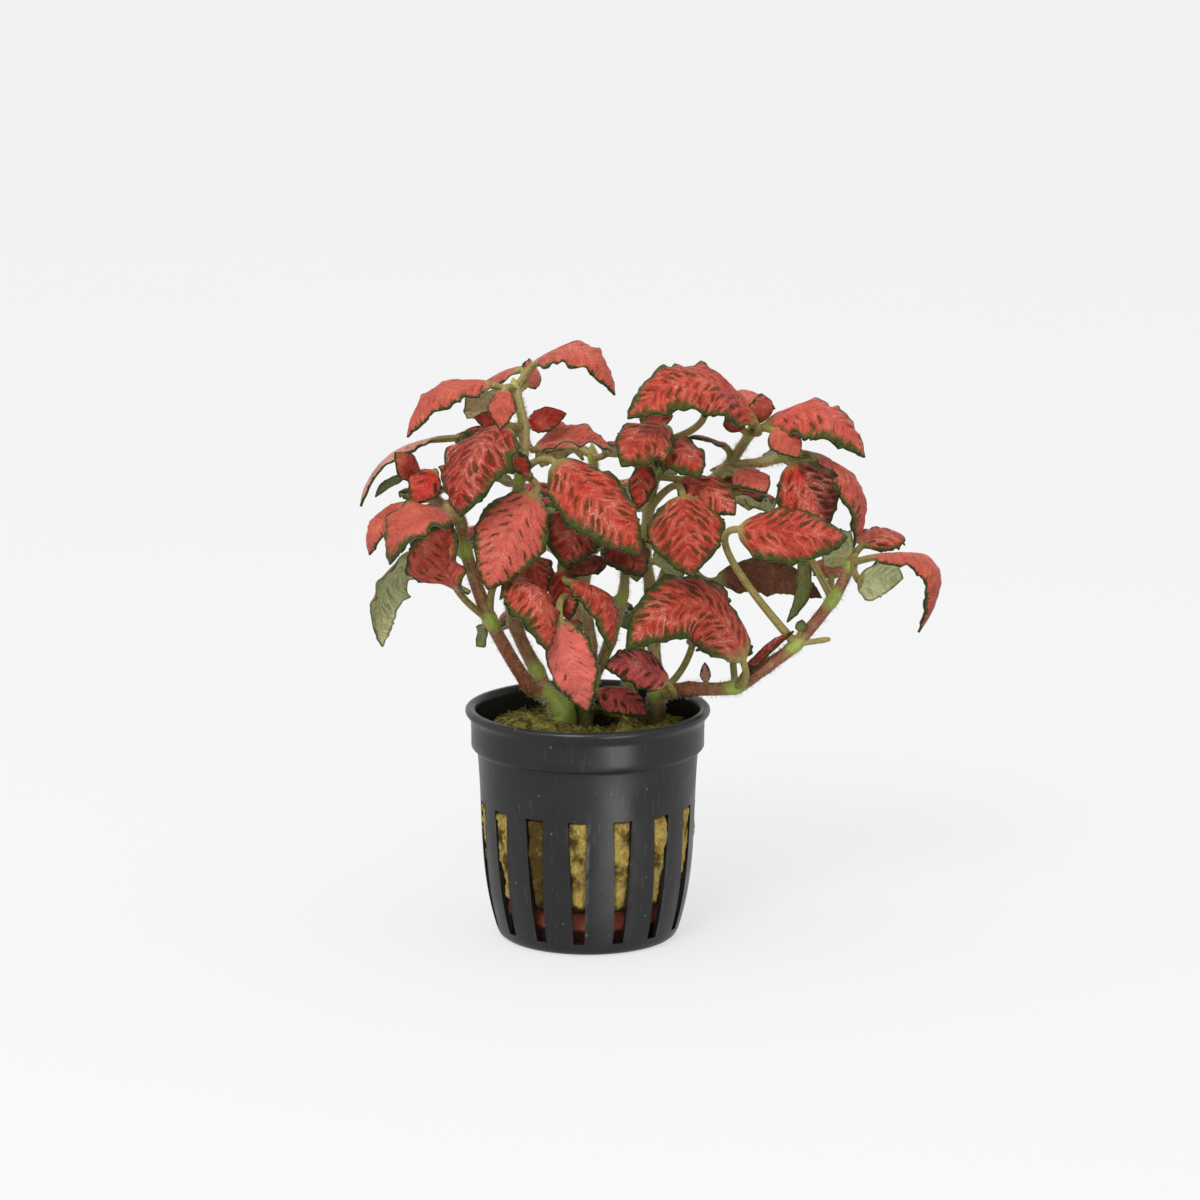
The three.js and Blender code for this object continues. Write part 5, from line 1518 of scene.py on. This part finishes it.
class NERVEPLANT_OT_stage(bpy.types.Operator):
    """Builds the pale floor, soft light and the camera at the photograph's angle"""

    bl_idname = "nerveplant.stage"
    bl_label = "Studio"

    def execute(self, context):
        settings = context.scene.nerve_plant.stage
        self.camera(context, settings)
        self.floor(settings)
        self.light(context, settings)
        return {"FINISHED"}

    def camera(self, context, settings):
        target = Vector(TARGET)
        data = bpy.data.cameras.new("Photograph")
        data.lens = settings.lens
        data.sensor_width = SENSOR_MM
        data.clip_end = 50
        made = bpy.data.objects.new("Photograph", data)
        way = Vector((0, -math.cos(settings.elevation), math.sin(settings.elevation)))
        made.location = target + way * settings.distance
        made.rotation_euler = (target - made.location).to_track_quat("-Z", "Y").to_euler()
        context.scene.collection.objects.link(made)
        context.scene.camera = made

    def floor(self, settings):
        """A wide pale sweep"""
        finish = Finish("pale_sweep")
        tone = finish.shade(finish.noise(finish.place(), 0.004), tuple(settings.floor), 0.99, 1.01)
        finish.set(base_color=tone, roughness=0.9, specular_ior_level=0.1)
        finish.set(emission_color=(1, 1, 1), emission_strength=settings.table)
        far = SWEEP_REACH
        corners = [(-far, -far, 0), (far, -far, 0), (far, far, 0), (-far, far, 0)]
        shape = Shape()
        shape.add(corners, [np.array([[0, 1, 2, 3]])])
        made = shape.piece("sweep", [finish.material])
        made.visible_diffuse = False
        made.visible_glossy = False
        made.visible_shadow = False

    def light(self, context, settings):
        world = bpy.data.worlds.new("Studio")
        world.use_nodes = True
        tree = world.node_tree
        sky = tree.nodes["Background"]
        sky.inputs["Color"].default_value = (1, 1, 1, 1)
        height = tree.nodes.new("ShaderNodeSeparateXYZ")
        rise = tree.nodes.new("ShaderNodeMapRange")
        tree.links.new(tree.nodes.new("ShaderNodeTexCoord").outputs["Generated"], height.inputs[0])
        tree.links.new(height.outputs["Z"], rise.inputs["Value"])
        tree.links.new(rise.outputs[0], sky.inputs["Strength"])
        rise.inputs["From Min"].default_value = -1
        rise.inputs["To Min"].default_value = settings.low_sky
        rise.inputs["To Max"].default_value = settings.sky
        context.scene.world = world
        context.scene.view_settings.view_transform = "Standard"
        lamp("Overhead", "SUN", OVERHEAD_PLACE, (0, 0, 0), settings.overhead, angle=math.radians(70))
        strip = lamp("Strip", "AREA", STRIP_PLACE, LIT_PLACE, settings.strip,
                     shape="RECTANGLE", size=0.6, size_y=1.2)
        strip.visible_diffuse = False
        lamp("Front", "AREA", FRONT_PLACE, LIT_PLACE, settings.front, shape="SQUARE", size=0.45)


class NERVEPLANT_PT_sidebar(bpy.types.Panel):
    """The plant's operators and settings"""

    bl_idname = "NERVEPLANT_PT_sidebar"
    bl_label = "Nerve Plant"
    bl_space_type = "VIEW_3D"
    bl_region_type = "UI"
    bl_category = "Nerve Plant"

    def draw(self, context):
        for operator in OPERATORS:
            self.layout.operator(operator.bl_idname)
        settings = context.scene.nerve_plant
        for part in ("pot", "filling", "foliage", "stage"):
            box = self.layout.box()
            group = getattr(settings, part)
            for key in group.__annotations__:
                box.prop(group, key)


GROUPS = (PotSettings, FillingSettings, FoliageSettings, StageSettings, PlantSettings)
OPERATORS = (NERVEPLANT_OT_stage, NERVEPLANT_OT_pot, NERVEPLANT_OT_filling, NERVEPLANT_OT_cuttings)
CLASSES = (*GROUPS, *OPERATORS, NERVEPLANT_PT_sidebar)


def register():
    for item in CLASSES:
        bpy.utils.register_class(item)
    bpy.types.Scene.nerve_plant = bpy.props.PointerProperty(type=PlantSettings)


def unregister():
    del bpy.types.Scene.nerve_plant
    for item in reversed(CLASSES):
        bpy.utils.unregister_class(item)


def main():
    """Builds the stage and the plant"""
    register()
    bpy.ops.nerveplant.stage()
    bpy.ops.nerveplant.pot()
    bpy.ops.nerveplant.filling()
    bpy.ops.nerveplant.cuttings()


if __name__ == "__main__":
    main()
